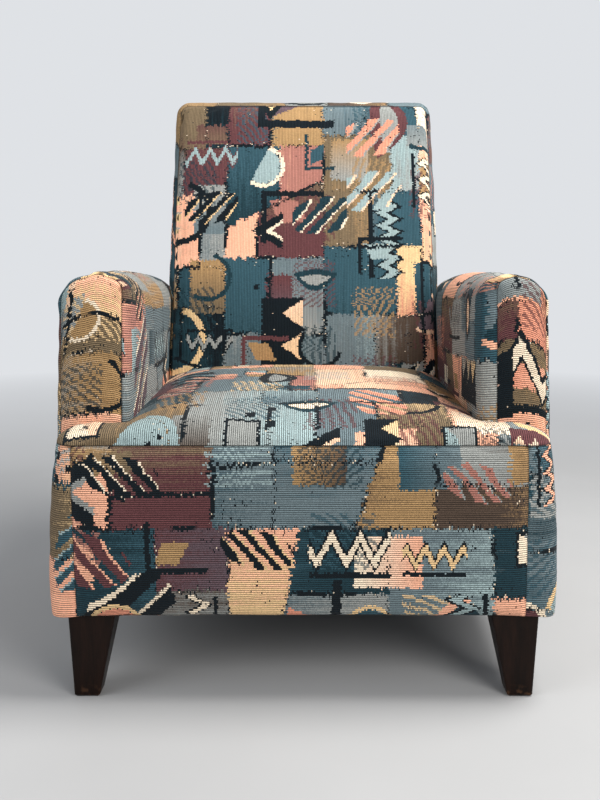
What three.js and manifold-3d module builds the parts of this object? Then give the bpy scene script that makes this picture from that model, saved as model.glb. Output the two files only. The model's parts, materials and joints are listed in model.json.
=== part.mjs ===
// An upholstered armchair with a tight crowned T-shaped seat, rounded block arms, a raked boxed back
// and four tapered wooden legs, built as the real one is: a hardwood frame with corner blocks,
// sinuous seat springs, back webbing, foam padding, and stitched fabric covers over all of it.
// Millimetres. +X is the sitter's left as seen from the front, -Y is the front, +Z is up.
// The origin is on the floor, under the middle of the overall box.

import * as THREE from "three";
import { mergeVertices } from "three/addons/utils/BufferGeometryUtils.js";
import Module from "manifold-3d";

const wasm = await Module();
wasm.setup();

// Overall sizes
const width = 760; // across the front band where it bulges most, and across the arms
const depth = 800; // front band to the rear of the back's top edge
const height = 965; // floor to the top of the back
const armHeight = 621; // floor to the crown of an arm
const legHeight = 124; // floor to the bottom edge of the upholstery
const seamHeight = 375; // floor to the seam between the seat's top panel and the front band

// Clearance between neighbouring pieces, and the thickness of the woven cover
const gap = 0.3;
const coverThick = 2;
const foamEase = 1.7; // cover to the crowned seat foam, whose facets don't run with the cover's

// Arms
const armWidth = 107; // inner face to outer face
const armSetback = 75; // front of the band to the front panel of an arm
const armOuterRadius = 46; // rounding along the outer top edge
const armInnerRadius = 58; // rounding along the inner top edge, beside the back
const armFrontInnerRadius = 26; // the same at the front panel
const armRadiusReach = 260; // length over which the inner rounding grows
const armEdgeRadius = 14; // rounding round the front and rear panels
const armFrontFall = 5; // fall of the arm's crown line from its middle to the front
const armRearFall = 28; // and to the rear
const armCrown = 3; // rise of an arm's top over the start of its roundings
const rearSetback = 70; // rear of the back's top edge to the rear of the arms

// Seat
const seatCrown = 27; // rise of the middle of the seat over its edges
const earRise = 25; // rise of the ears' flat top over the seam
const earRadius = 46; // rounding at the outer side of each ear
const noseRadius = 44; // depth of the rounded front edge
const seatSideRadius = 8; // rounding where the seat is tucked in beside an arm

// Front band
const bandBulge = 11; // how far the band's sides swell past its top edge
const bandSwell = 5; // how far the band's front swells past its top edge
const bandCorner = 40; // rounding of its two upright corners, in plan

// Back
const backLean = 12; // degrees that the front of the back leans from upright
const backTopThick = 152; // front to rear at the top edge
const backTaper = 7; // how much narrower each side is at the top than at the arms
const backCorner = 22; // rounding of its upright front edges
const backTopRadius = 18; // rounding of its top edge
const backCrown = 12; // swell of the middle of the front face
const backKnee = 560; // height where the rear face changes from upright to raked
const outsideBackThick = 3; // rear panel: fabric over board
const backFoam = 43; // foam in front of the back frame
const backCapFoam = 20; // foam over the sides and top of the back frame

// Timber
const board = 25; // thickness of the rails and stiles
const railHeight = 95; // height of the side and rear rails
const seatRailHeight = 40; // height of the rail that holds the springs' rear ends
const springRoom = 55; // top of the front rail to the seam
const bandFoam = 12; // padding in front of the front rail
const sideFoam = 6; // least padding over the outer side of the frame
const railChamfer = 16; // the front rail's ends follow the band's rounded corners
const armInnerFoam = 20.4; // padding on the inner side of an arm
const armTopFoam = 24; // padding over the arm's top rail
const armFrontFoam = 13; // padding in front of the arm's front post
const topRailThick = 22; // arm's top rail
const postDepth = 45; // arm posts, front to rear
const tackRailHeight = 60; // rail along the inside of an arm at seat level
const tackRailDepth = 20;
const armTuck = 20; // how far the arm's inner wall goes down beside the seat foam
const blockSize = 50; // corner blocks, along each rail
const blockHeight = 45;
const crossRailHeight = 40; // rails across the back frame
const crossRailDepth = 22;

// Legs and their bolts
const legTop = 70; // square at the top
const legFoot = 38; // square at the floor
const legRound = 3; // rounding of the edges
const legOuterTaper = 8; // taper of the two outer faces; the inner faces take the rest
const legInset = 32; // side of the chair to the outer face of a leg's top
const legFrontInset = 15.5; // front of the band to the front face of a front leg's top
const legRearInset = 8; // rear of the arms to the rear face of a rear leg's top
const boltRadius = 4;
const boltInLeg = 40; // length of the wood thread in the leg
const boltInBlock = 38; // length of the machine thread in the corner block
const dustCoverThick = 1.2;

// Springs and webbing
const springCount = 5;
const springSideRoom = 61; // inner face of an arm to the middle of the outermost spring
const springWire = 1.9; // radius of the wire
const springHalfWidth = 24; // half the width of a spring's loops
const springLoops = 10; // full waves along a spring
const springRise = 22; // arch of a spring over its ends
const springEnd = 16; // front or rear edge of a rail to the end of a spring
const insulatorThick = 4;
const edgeRollWidth = 8; // roll along the front edge of the front rail
const strapCount = 4;
const strapWidth = 60;
const strapThick = 2;
const strapLowRoom = 40; // edge of the seat to the lowest strap's middle
const strapHighRoom = 112; // top of a stile to the highest strap's middle

// Places worked out from the sizes
const outerX = width / 2;
const innerX = outerX - armWidth;
const frontY = -depth / 2;
const armFrontY = frontY + armSetback;
const armRearY = depth / 2 - rearSetback;
const seatEdgeHeight = seamHeight + earRise; // floor to the seat where it meets an arm
const seatFrameTop = seamHeight - springRoom; // floor to the top of the front rail
const seamHalf = outerX - bandBulge; // half width at the seam
const seamY = frontY + bandSwell; // front of the seam
const seatHalf = innerX - gap; // half width of the seat between the arms
const backHalf = innerX - 2 * gap;
const dustTop = legHeight + coverThick - gap;
const frameZ = legHeight + coverThick; // underside of the frame
const dustBottom = dustTop - dustCoverThick;
const legTopZ = dustBottom - gap;
const railTop = frameZ + railHeight;
const frameX = seamHalf - coverThick - gap - sideFoam; // outer side of the frame
const frontRailY = frontY + coverThick + gap + bandFoam; // front face of the front rail
const rearRailY = armRearY - coverThick - gap - outsideBackThick; // rear face of the rear rail
const armFrameX = innerX + coverThick + armInnerFoam; // inner side of the arm frame
const armFrameFront = armFrontY + coverThick + armFrontFoam;
const springZ = seatFrameTop + gap + springWire; // middle of the wire at a rail
const insulatorZ = springZ + springRise + springWire + gap;
const foamZ = insulatorZ + insulatorThick + gap; // underside of the seat foam
const seatTop = seatEdgeHeight + seatCrown; // crest of the seat
const armOpenHeight = foamZ - armTuck; // below this the arm has only its outer wall
const lean = THREE.MathUtils.degToRad(backLean);
const stileTop = height - backCapFoam - coverThick - gap;
const stileOuter = backHalf - backCapFoam - coverThick - gap;

// Front face of the back on its centre line before the crown, and its rear face, at height z
const backFront = (z) => depth / 2 - backTopThick - (height - z) * Math.tan(lean);
const backRear = (z) =>
  armRearY + (rearSetback * Math.max(0, z - backKnee)) / (height - backKnee);
const stileFront = (z) => backFront(z) + coverThick + gap + backFoam;

const seatRailY = stileFront(seatFrameTop - seatRailHeight) - gap; // rear face of the spring rail

// Materials
const finish = (color, roughness, metalness = 0) =>
  new THREE.MeshStandardMaterial({ color, roughness, metalness });
const tapestry = finish(0x8c7a74, 0.92);
const foam = finish(0xd8c98f, 0.95);
const timber = finish(0xb08a5a, 0.75);
const darkWood = finish(0x2a1b14, 0.38);
const steel = finish(0x8b8d90, 0.42, 1);
const jute = finish(0xa08a63, 0.95);
const blackCloth = finish(0x1c1c1e, 0.95);

const chair = new THREE.Group();

function add(name, geometry, material) {
  const mesh = new THREE.Mesh(geometry, material);
  mesh.name = name;
  chair.add(mesh);
  return mesh;
}

// Solid modelling helpers
function solidOf(geometry) {
  const plain = new THREE.BufferGeometry();
  plain.setAttribute("position", geometry.getAttribute("position"));
  if (geometry.index) plain.setIndex(geometry.index);
  const merged = mergeVertices(plain, 1e-4);
  return new wasm.Manifold(
    new wasm.Mesh({
      numProp: 3,
      vertProperties: new Float32Array(merged.getAttribute("position").array),
      triVerts: new Uint32Array(merged.index.array),
    }),
  );
}

function geometryOf(solid) {
  const mesh = solid.getMesh();
  const geometry = new THREE.BufferGeometry();
  geometry.setAttribute("position", new THREE.BufferAttribute(mesh.vertProperties, 3));
  geometry.setIndex(new THREE.BufferAttribute(mesh.triVerts, 1));
  geometry.computeVertexNormals();
  return geometry;
}

const cut = (body, ...tools) =>
  geometryOf(tools.reduce((rest, tool) => rest.subtract(solidOf(tool)), solidOf(body)));

function block(x0, x1, y0, y1, z0, z1) {
  const box = new THREE.BoxGeometry(Math.abs(x1 - x0), y1 - y0, z1 - z0);
  return box.translate((x0 + x1) / 2, (y0 + y1) / 2, (z0 + z1) / 2);
}

// A block whose two front corners are cut off to follow the rounded corners of the front band
function plan(half, y0, y1, z0, z1) {
  const shape = new THREE.Shape([
    new THREE.Vector2(half, y1),
    new THREE.Vector2(-half, y1),
    new THREE.Vector2(-half, y0 + railChamfer),
    new THREE.Vector2(-half + railChamfer, y0),
    new THREE.Vector2(half - railChamfer, y0),
    new THREE.Vector2(half, y0 + railChamfer),
  ]);
  const solid = new THREE.ExtrudeGeometry(shape, { depth: z1 - z0, bevelEnabled: false });
  return solid.translate(0, 0, z0);
}

// A closed skin over a row of closed loops with equally many points, with a flat cap at each end
function loft(loops) {
  const count = loops[0].length;
  const points = loops.flat();
  const faces = [];
  for (let row = 0; row < loops.length - 1; row++) {
    for (let i = 0; i < count; i++) {
      const a = row * count + i;
      const b = row * count + ((i + 1) % count);
      faces.push([a, b, b + count], [a, b + count, a + count]);
    }
  }
  const last = (loops.length - 1) * count;
  for (const [start, turned] of [
    [0, true],
    [last, false],
  ]) {
    const centre = new THREE.Vector3();
    for (let i = 0; i < count; i++) centre.addScaledVector(points[start + i], 1 / count);
    points.push(centre);
    for (let i = 0; i < count; i++) {
      const ring = [start + i, start + ((i + 1) % count)];
      faces.push([points.length - 1, ...(turned ? ring.reverse() : ring)]);
    }
  }
  const volume = faces.reduce(
    (sum, [a, b, c]) => sum + points[a].dot(points[b].clone().cross(points[c])),
    0,
  );
  if (volume < 0) faces.forEach((face) => face.reverse());
  const geometry = new THREE.BufferGeometry().setFromPoints(points);
  geometry.setIndex(faces.flat());
  geometry.computeVertexNormals();
  return geometry;
}

// Shares of a quarter turn: how far in from an edge each step is, and how much of the radius is left
const quarter = (steps) =>
  Array.from({ length: steps + 1 }, (_, i) => {
    const turn = (Math.PI / 2) * (i / steps);
    return { along: 1 - Math.cos(turn), inset: 1 - Math.sin(turn) };
  });

// Extrudes an outline drawn in the YZ plane along X
function sideProfile(outline, x0, x1) {
  const shape = new THREE.Shape(outline.map(([y, z]) => new THREE.Vector2(y, z)));
  const solid = new THREE.ExtrudeGeometry(shape, {
    depth: Math.abs(x1 - x0),
    bevelEnabled: false,
  });
  // The outline's first axis turns to Y and its second to Z, and its depth runs along +X
  solid.applyMatrix4(
    new THREE.Matrix4().makeBasis(
      new THREE.Vector3(0, 1, 0),
      new THREE.Vector3(0, 0, 1),
      new THREE.Vector3(1, 0, 0),
    ),
  );
  return solid.translate(Math.min(x0, x1), 0, 0);
}

// Legs: square tapered posts with softened edges, each on a hanger bolt
function roundedSquare(cx, cy, half, radius, z) {
  const loop = [];
  for (let corner = 0; corner < 4; corner++) {
    for (let step = 0; step < 3; step++) {
      const turn = (Math.PI / 2) * (corner + step / 2);
      const sx = [1, -1, -1, 1][corner];
      const sy = [1, 1, -1, -1][corner];
      loop.push(
        new THREE.Vector3(
          cx + sx * (half - radius) + radius * Math.cos(turn),
          cy + sy * (half - radius) + radius * Math.sin(turn),
          z,
        ),
      );
    }
  }
  return loop;
}

function bolt(cx, cy, z0, z1, radius) {
  const rod = new THREE.CylinderGeometry(radius, radius, z1 - z0, 16);
  return rod.rotateX(Math.PI / 2).translate(cx, cy, (z0 + z1) / 2);
}

const legX = outerX - legInset - legTop / 2;
const legPlaces = [
  ["front_left", -legX, frontY + legFrontInset + legTop / 2],
  ["front_right", legX, frontY + legFrontInset + legTop / 2],
  ["rear_left", -legX, armRearY - legRearInset - legTop / 2],
  ["rear_right", legX, armRearY - legRearInset - legTop / 2],
];
const boltHole = (cx, cy, z0, z1) => bolt(cx, cy, z0, z1, boltRadius + gap);

function makeLegs() {
  const out = (legTop - legFoot) / 2 - legOuterTaper;
  for (const [place, cx, cy] of legPlaces) {
    const footX = cx + out * Math.sign(cx);
    const footY = cy + out * Math.sign(cy);
    const post = loft([
      roundedSquare(footX, footY, legFoot / 2 - legRound, legRound / 2, 0),
      roundedSquare(footX, footY, legFoot / 2, legRound, legRound),
      roundedSquare(cx, cy, legTop / 2, legRound, legTopZ),
    ]);
    const low = legTopZ - boltInLeg;
    add("leg_" + place, cut(post, boltHole(cx, cy, low, legHeight + board)), darkWood);
    const rod = bolt(cx, cy, low + gap, frameZ + boltInBlock, boltRadius);
    add("leg_bolt_" + place, rod, steel);
  }
}

// Base frame: four rails, a corner block over each leg, and the rail behind the springs
function makeBase() {
  add("front_rail", plan(frameX, frontRailY, frontRailY + board, frameZ, seatFrameTop), timber);
  add("rear_rail", block(-frameX, frameX, rearRailY - board, rearRailY, frameZ, railTop), timber);
  const railFront = frontRailY + board + gap;
  const railRear = rearRailY - board - gap;
  for (const [side, sign] of [
    ["left", -1],
    ["right", 1],
  ]) {
    const inner = sign * (frameX - board);
    add("side_rail_" + side, block(inner, sign * frameX, railFront, railRear, frameZ, railTop), timber);
  }
  for (const [place, cx, cy] of legPlaces) {
    const front = cy < 0;
    const cornerX = Math.sign(cx) * (frameX - board - gap);
    const cornerY = front ? railFront : railRear;
    const wedge = new THREE.Shape([
      new THREE.Vector2(cornerX, cornerY),
      new THREE.Vector2(cornerX - Math.sign(cx) * blockSize, cornerY),
      new THREE.Vector2(cornerX, cornerY + (front ? blockSize : -blockSize)),
    ]);
    const solid = new THREE.ExtrudeGeometry(wedge, { depth: blockHeight, bevelEnabled: false });
    const hole = boltHole(cx, cy, legTopZ, frameZ + blockHeight + board);
    add("corner_block_" + place, cut(solid.translate(0, 0, frameZ), hole), timber);
  }
  const reach = armFrameX - gap;
  const railLow = seatFrameTop - seatRailHeight;
  add("rear_seat_rail", block(-reach, reach, seatRailY - board, seatRailY, railLow, seatFrameTop), timber);
}

// Arm frames: two posts, a top rail on them and a tack rail between them at seat level
function makeArmFrames() {
  const topRailZ = armHeight - armRearFall - coverThick - gap - armTopFoam - topRailThick;
  const postX = frameX - board - gap;
  const postLow = frameZ + blockHeight + gap;
  const rearPostY = rearRailY - board - gap - postDepth;
  const tackLow = seatFrameTop - seatRailHeight + 5;
  for (const [side, sign] of [
    ["left", -1],
    ["right", 1],
  ]) {
    const inner = sign * armFrameX;
    for (const [end, y] of [
      ["front", armFrameFront],
      ["rear", rearPostY],
    ]) {
      const post = block(inner, sign * postX, y, y + postDepth, postLow, topRailZ - gap);
      add("arm_" + end + "_post_" + side, post, timber);
    }
    const top = block(inner, sign * frameX, armFrameFront, rearRailY - board, topRailZ, topRailZ + topRailThick);
    add("arm_top_rail_" + side, top, timber);
    const tack = block(
      inner,
      inner + sign * tackRailDepth,
      armFrameFront + postDepth + gap,
      rearPostY - gap,
      tackLow,
      tackLow + tackRailHeight,
    );
    add("arm_tack_rail_" + side, tack, timber);
  }
}

// Back frame: two plywood stiles, wide at the foot, with three rails and the webbing between them
function makeBackFrame() {
  const rearFace = (z) => backRear(z) - outsideBackThick - gap;
  const notchY = rearRailY - board - gap;
  const outline = [
    [stileFront(frameZ), frameZ],
    [stileFront(stileTop), stileTop],
    [rearFace(stileTop), stileTop],
    [rearFace(backKnee), backKnee],
    [rearFace(railTop), railTop + gap],
    [notchY, railTop + gap],
    [notchY, frameZ],
  ];
  for (const [side, sign] of [
    ["left", -1],
    ["right", 1],
  ]) {
    const stile = sideProfile(outline, sign * (stileOuter - board), sign * stileOuter);
    add("back_stile_" + side, stile, timber);
  }
  const strapFirst = seatEdgeHeight + strapLowRoom;
  const strapPitch = (stileTop - strapHighRoom - strapFirst) / (strapCount - 1);
  const half = stileOuter - board - gap;
  const rails = [
    ["back_top_rail", stileTop - crossRailHeight],
    ["back_middle_rail", (stileTop + foamZ) / 2],
    ["back_lower_rail", foamZ],
  ];
  for (const [name, z] of rails) {
    const y = stileFront(z + crossRailHeight) + 2;
    add(name, block(-half, half, y, y + crossRailDepth, z, z + crossRailHeight), timber);
  }
  for (let i = 0; i < strapCount; i++) {
    const z = strapFirst + i * strapPitch;
    const strap = new THREE.BoxGeometry(2 * stileOuter - 4, strapThick, strapWidth);
    const mesh = add("back_strap_" + (i + 1), strap, jute);
    const off = strapThick / 2 + gap;
    mesh.position.set(0, stileFront(z) - off * Math.cos(lean), z + off * Math.sin(lean));
    mesh.rotation.x = -lean;
  }
}

// A round wire along a row of points, built with its section upright
function wireAlong(points) {
  const sides = 4;
  const up = new THREE.Vector3(0, 0, 1);
  const loops = points.map((point, i) => {
    const next = points[Math.min(i + 1, points.length - 1)];
    const along = next.clone().sub(points[Math.max(i - 1, 0)]).normalize();
    const across = along.clone().cross(up).normalize();
    const over = across.clone().cross(along);
    return Array.from({ length: sides }, (_, k) => {
      const turn = (2 * Math.PI * (k + 0.5)) / sides;
      return point
        .clone()
        .addScaledVector(across, springWire * Math.cos(turn))
        .addScaledVector(over, springWire * Math.sin(turn));
    });
  });
  return loft(loops);
}

// Sinuous seat springs: a wire laid in a wave from rail to rail, arched over the middle
function makeSprings() {
  const perWave = 8;
  const y0 = frontRailY + springEnd;
  const y1 = seatRailY - springEnd;
  const spacing = (2 * (innerX - springSideRoom)) / (springCount - 1);
  for (let i = 0; i < springCount; i++) {
    const cx = (i - (springCount - 1) / 2) * spacing;
    const points = Array.from({ length: springLoops * perWave + 1 }, (_, k) => {
      const t = k / (springLoops * perWave);
      const wave = Math.sin((2 * Math.PI * k) / perWave);
      const x = cx + springHalfWidth * Math.sign(wave) * Math.sqrt(Math.abs(wave));
      return new THREE.Vector3(x, y0 + (y1 - y0) * t, springZ + springRise * 4 * t * (1 - t));
    });
    add("seat_spring_" + (i + 1), wireAlong(points), steel);
  }
}

// The seat's upper surface, without the rounding of its edges
function seatSurface(x, y) {
  const across = 1 - Math.min(1, Math.abs(x) / innerX) ** 4;
  const start = seamY + noseRadius / 2;
  const along = THREE.MathUtils.clamp((y - start) / (-start * 0.55), 0, 1);
  const rise = Math.sin((Math.PI / 2) * along) ** 0.8;
  const fall = 1 - 0.2 * Math.max(0, y / (depth / 2)) * 2;
  const droop = (4 * Math.max(0, Math.abs(x) - innerX)) / armWidth;
  return seatEdgeHeight + seatCrown * across * rise * fall - droop;
}

// A crosswise section of the T-shaped seat at y, drawn in by inset from its outer skin
function seatSection(y, wide, inset, low) {
  const fromFront = y - (seamY + inset);
  const nose = Math.max(noseRadius - inset, 1);
  const lift = fromFront >= nose ? 1 : Math.sqrt(Math.max(0, 1 - (1 - fromFront / nose) ** 2));
  const corner = Math.max(bandCorner - inset, 1);
  const bite = fromFront >= corner ? 0 : corner - Math.sqrt(corner ** 2 - (corner - fromFront) ** 2);
  const half = wide ? seamHalf - inset - bite : seatHalf - inset;
  const side = wide ? earRadius : seatSideRadius;
  const topAt = (x) => {
    const flat = seatSurface(x, y) - inset;
    const base = wide ? seamHeight : flat - side;
    const near = Math.max(0, Math.abs(x) - (half - side)) / side;
    const round = Math.sqrt(Math.max(0, 1 - near * near));
    return seamHeight + (base + (flat - base) * round - seamHeight) * lift;
  };
  const loop = [new THREE.Vector3(half, y, low), new THREE.Vector3(-half, y, low)];
  const sideSteps = 4;
  const topSteps = 12;
  const xs = quarter(sideSteps).map(({ along }) => half - side * along);
  for (let i = 1; i < topSteps; i++) xs.push((half - side) * (1 - (2 * i) / topSteps));
  xs.push(...xs.slice(0, sideSteps + 1).map((x) => -x).reverse());
  xs.reverse();
  xs.forEach((x) => loop.push(new THREE.Vector3(x, y, topAt(x))));
  return loop;
}

function seatBody(inset, low) {
  const front = seamY + inset;
  const nose = Math.max(noseRadius - inset, 1);
  const earRear = armFrontY - gap - inset;
  const loops = quarter(4).map(({ along }) => seatSection(front + nose * along, true, inset, low));
  loops.push(seatSection(earRear, true, inset, low));
  loops.push(seatSection(earRear + gap, false, inset, low));
  const rear = backFront(seatEdgeHeight + seatCrown) + backCrown;
  const rows = 6;
  for (let i = 1; i <= rows; i++) {
    const y = earRear + (rear - earRear) * (i / rows);
    loops.push(seatSection(y, false, inset, low));
  }
  return loft(loops);
}

// Everything behind the leaning face of the back, brought forward by offset
function behindBack(offset) {
  const far = depth;
  const low = 0;
  const high = height * 1.2;
  const y = (z) => backFront(z) - offset;
  return sideProfile(
    [
      [y(low), low],
      [far, low],
      [far, high],
      [y(high), high],
    ],
    -width,
    width,
  );
}

function makeSeat() {
  const skirt = block(-width, width, frontY - board, armFrontY, 0, seamHeight);
  const cover = cut(seatBody(0, foamZ), seatBody(coverThick, 0), behindBack(gap), skirt);
  add("seat_cover", cover, tapestry);
  const pad = cut(seatBody(coverThick + foamEase, foamZ), behindBack(2 * gap));
  add("seat_foam", pad, foam);
  const half = seatHalf - coverThick;
  const slab = block(-half, half, frontRailY + board, seatRailY, insulatorZ, foamZ - gap);
  const ears = plan(frameX - gap, frontRailY, armFrontY - 2 * gap, insulatorZ, foamZ - gap);
  add("seat_insulator", geometryOf(solidOf(slab).add(solidOf(ears))), jute);
  const roll = block(
    -frameX + railChamfer,
    frameX - railChamfer,
    frontRailY,
    frontRailY + edgeRollWidth,
    seatFrameTop + gap,
    insulatorZ - gap,
  );
  add("front_edge_roll", roll, jute);
}

// The front band: a padded strip that wraps from arm to arm under the seat's seam
const bandRows = Array.from({ length: 7 }, (_, i) => {
  const share = i / 6;
  return {
    z: legHeight + (seamHeight - legHeight) * share,
    swell: Math.sin(Math.PI * share),
  };
});

// Swell of the band at height z, straight between its rows so that every layer keeps one shape
function swellAt(z) {
  const upper = bandRows.find((row) => row.z >= z && row.z > legHeight) ?? bandRows.at(-1);
  const lower = bandRows[bandRows.indexOf(upper) - 1];
  const share = THREE.MathUtils.clamp((z - lower.z) / (upper.z - lower.z), 0, 1);
  return THREE.MathUtils.lerp(lower.swell, upper.swell, share);
}

function bandSection(z, inset, rear) {
  const swell = swellAt(z);
  const half = seamHalf + bandBulge * swell - inset;
  const front = seamY - bandSwell * swell + inset;
  const radius = bandCorner - inset;
  const loop = [new THREE.Vector3(half, rear, z), new THREE.Vector3(-half, rear, z)];
  const steps = quarter(5);
  for (const { along, inset: left } of steps) {
    loop.push(new THREE.Vector3(-half + radius * along, front + radius * left, z));
  }
  for (const { along, inset: left } of [...steps].reverse()) {
    loop.push(new THREE.Vector3(half - radius * along, front + radius * left, z));
  }
  return loop;
}

function bandBody(inset, low, high, rear) {
  const between = bandRows.map((row) => row.z).filter((z) => z > low && z < high);
  return loft([low, ...between, high].map((z) => bandSection(z, inset, rear)));
}

function makeBand() {
  const rear = armFrontY - gap;
  const past = rear + board;
  const hollow = bandBody(coverThick, legHeight - board, seamHeight + board, past);
  add("front_band_cover", cut(bandBody(0, legHeight, seamHeight - gap, rear), hollow), tapestry);
  const room = plan(frameX + gap, frontRailY - gap, past, legHeight - board, seamHeight + board);
  const pad = cut(bandBody(coverThick + gap, frameZ, foamZ - gap, rear), room);
  add("front_band_padding", pad, foam);
}

// An upright section across an arm at y, drawn in by inset from its outer skin
function armSection(sign, y, inset, low) {
  const middle = (armFrontY + armRearY) / 2;
  const half = (armRearY - armFrontY) / 2;
  const fall = y < middle ? armFrontFall : armRearFall;
  const top = armHeight - fall * ((y - middle) / half) ** 2 - inset;
  const outer = outerX - inset;
  const inner = innerX + inset;
  const outerR = Math.max(armOuterRadius - inset, 2);
  const grown = THREE.MathUtils.clamp((y - armFrontY) / armRadiusReach, 0, 1);
  const innerRadius = THREE.MathUtils.lerp(armFrontInnerRadius, armInnerRadius, grown);
  const innerR = Math.max(innerRadius - inset, 2);
  const loop = [new THREE.Vector3(sign * inner, y, low)];
  const steps = quarter(5);
  for (const { along, inset: left } of steps) {
    loop.push(new THREE.Vector3(sign * (inner + innerR * along), y, top - armCrown - innerR * left));
  }
  loop.push(new THREE.Vector3(sign * ((inner + innerR + outer - outerR) / 2), y, top));
  for (const { along, inset: left } of [...steps].reverse()) {
    loop.push(new THREE.Vector3(sign * (outer - outerR * along), y, top - armCrown - outerR * left));
  }
  loop.push(new THREE.Vector3(sign * outer, y, low));
  return loop;
}

function armBody(sign, inset, low) {
  const front = armFrontY + inset;
  const rear = armRearY - inset;
  const radius = Math.max(armEdgeRadius - inset, 2);
  const ends = quarter(3);
  const loops = ends.map(({ along, inset: left }) =>
    armSection(sign, front + radius * along, inset + radius * left, low),
  );
  const spans = 4;
  for (let i = 1; i < spans; i++) {
    const y = front + radius + ((rear - front - 2 * radius) * i) / spans;
    loops.push(armSection(sign, y, inset, low));
  }
  for (const { along, inset: left } of [...ends].reverse()) {
    loops.push(armSection(sign, rear - radius * along, inset + radius * left, low));
  }
  return loft(loops);
}

function makeArms() {
  const frameTop = armHeight - armRearFall - coverThick - armTopFoam;
  for (const [side, sign] of [
    ["left", -1],
    ["right", 1],
  ]) {
    // Below the seat only the outer wall and the rear skin go on down to the bottom edge
    const under = block(
      sign * (innerX - board),
      sign * (frameX + gap),
      armFrontY - board,
      rearRailY + gap,
      0,
      armOpenHeight,
    );
    const cover = cut(armBody(sign, 0, legHeight), armBody(sign, coverThick, 0), under);
    add("arm_cover_" + side, cover, tapestry);
    const room = block(
      sign * (armFrameX - gap),
      sign * (frameX + gap),
      armFrameFront - gap,
      rearRailY + gap,
      0,
      frameTop,
    );
    const padding = cut(armBody(sign, coverThick + gap, frameZ), room, under);
    add("arm_padding_" + side, padding, foam);
  }
}

// A level section through the back at height z, drawn in by inset from its outer skin
function backHalfAt(z) {
  const share = THREE.MathUtils.clamp((z - armHeight) / (height - armHeight), 0, 1);
  return backHalf - backTaper * share ** 2;
}

function backSection(z, inset, rear) {
  const half = backHalfAt(z) - inset;
  const front = backFront(z) + inset;
  const radius = Math.max(backCorner - inset, 2);
  const loop = [new THREE.Vector3(half, rear, z), new THREE.Vector3(-half, rear, z)];
  const steps = quarter(4);
  for (const { along, inset: left } of [...steps].reverse()) {
    loop.push(new THREE.Vector3(-half + radius * left, front + radius * along, z));
  }
  const spans = 8;
  const rise = THREE.MathUtils.clamp((z - seatTop) / (height - seatTop), 0, 1);
  const fade = Math.sqrt(Math.sin(Math.PI * rise));
  for (let i = 1; i < spans; i++) {
    const across = (2 * i) / spans - 1;
    const bow = backCrown * (1 - across ** 2) * fade;
    loop.push(new THREE.Vector3((half - radius) * across, front - bow, z));
  }
  for (const { along, inset: left } of steps) {
    loop.push(new THREE.Vector3(half - radius * left, front + radius * along, z));
  }
  return loop;
}

function backBody(inset, low) {
  const top = height - inset;
  const radius = Math.max(backTopRadius - inset, 2);
  const high = top - radius;
  const rows = 7;
  const loops = [backSection(low, inset, depth)];
  for (let i = 0; i <= rows; i++) {
    loops.push(backSection(seatTop + ((high - seatTop) * i) / rows, inset, depth));
  }
  for (const { along, inset: left } of [...quarter(3)].reverse().slice(1)) {
    loops.push(backSection(top - radius * along, inset + radius * left, depth));
  }
  return loft(loops);
}

// Everything behind the rear face of the back, brought forward by offset
function behindRear(offset) {
  const far = 2 * depth;
  const y = (z) => backRear(z) - offset;
  const high = height * 1.2;
  return sideProfile(
    [
      [y(0), 0],
      [far, 0],
      [far, high],
      [y(high), high],
      [y(backKnee), backKnee],
    ],
    -width,
    width,
  );
}

function makeBack() {
  const low = foamZ + gap;
  const rearFace = outsideBackThick + gap;
  const cover = cut(backBody(0, low), backBody(coverThick, 0), behindRear(rearFace));
  add("back_cover", cover, tapestry);
  const reach = stileOuter + gap;
  const frontRoom = strapThick + 3 * gap;
  const y = (z) => stileFront(z) - frontRoom;
  const room = sideProfile(
    [
      [y(0), 0],
      [depth, 0],
      [depth, stileTop + gap],
      [y(stileTop + gap), stileTop + gap],
    ],
    -reach,
    reach,
  );
  const pad = cut(backBody(coverThick + gap, low), room, behindRear(rearFace));
  add("back_foam", pad, foam);
  const top = height - backTopRadius;
  const rows = [legHeight, backKnee, armHeight, (armHeight + top) / 2].map((z) => ({ z, left: 0 }));
  for (const { along, inset: left } of [...quarter(3)].reverse()) {
    rows.push({ z: height - backTopRadius * along, left: backTopRadius * left });
  }
  const panel = rows.map(({ z, left }) => {
    const half = backHalfAt(z) - left;
    const rear = backRear(z);
    return [
      new THREE.Vector3(-half, rear - outsideBackThick, z),
      new THREE.Vector3(half, rear - outsideBackThick, z),
      new THREE.Vector3(half, rear, z),
      new THREE.Vector3(-half, rear, z),
    ];
  });
  add("outside_back", loft(panel), tapestry);
}

// Thin black cloth across the underside, held between the frame and the legs
function makeDustCover() {
  const sheet = plan(frameX - gap, frontRailY + gap, rearRailY - gap, dustBottom, dustTop);
  const holes = legPlaces.map(([, cx, cy]) => boltHole(cx, cy, dustBottom - 1, dustTop + 1));
  add("dust_cover", cut(sheet, ...holes), blackCloth);
}

makeLegs();
makeBase();
makeArmFrames();
makeBackFrame();
makeSprings();
makeSeat();
makeBand();
makeArms();
makeBack();
makeDustCover();

export default chair;
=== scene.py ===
"""Looks of an upholstered armchair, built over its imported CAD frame. Metres, front towards -Y, +Z up."""

import json
import math

import bpy
import numpy as np
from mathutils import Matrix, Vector, noise


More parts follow.
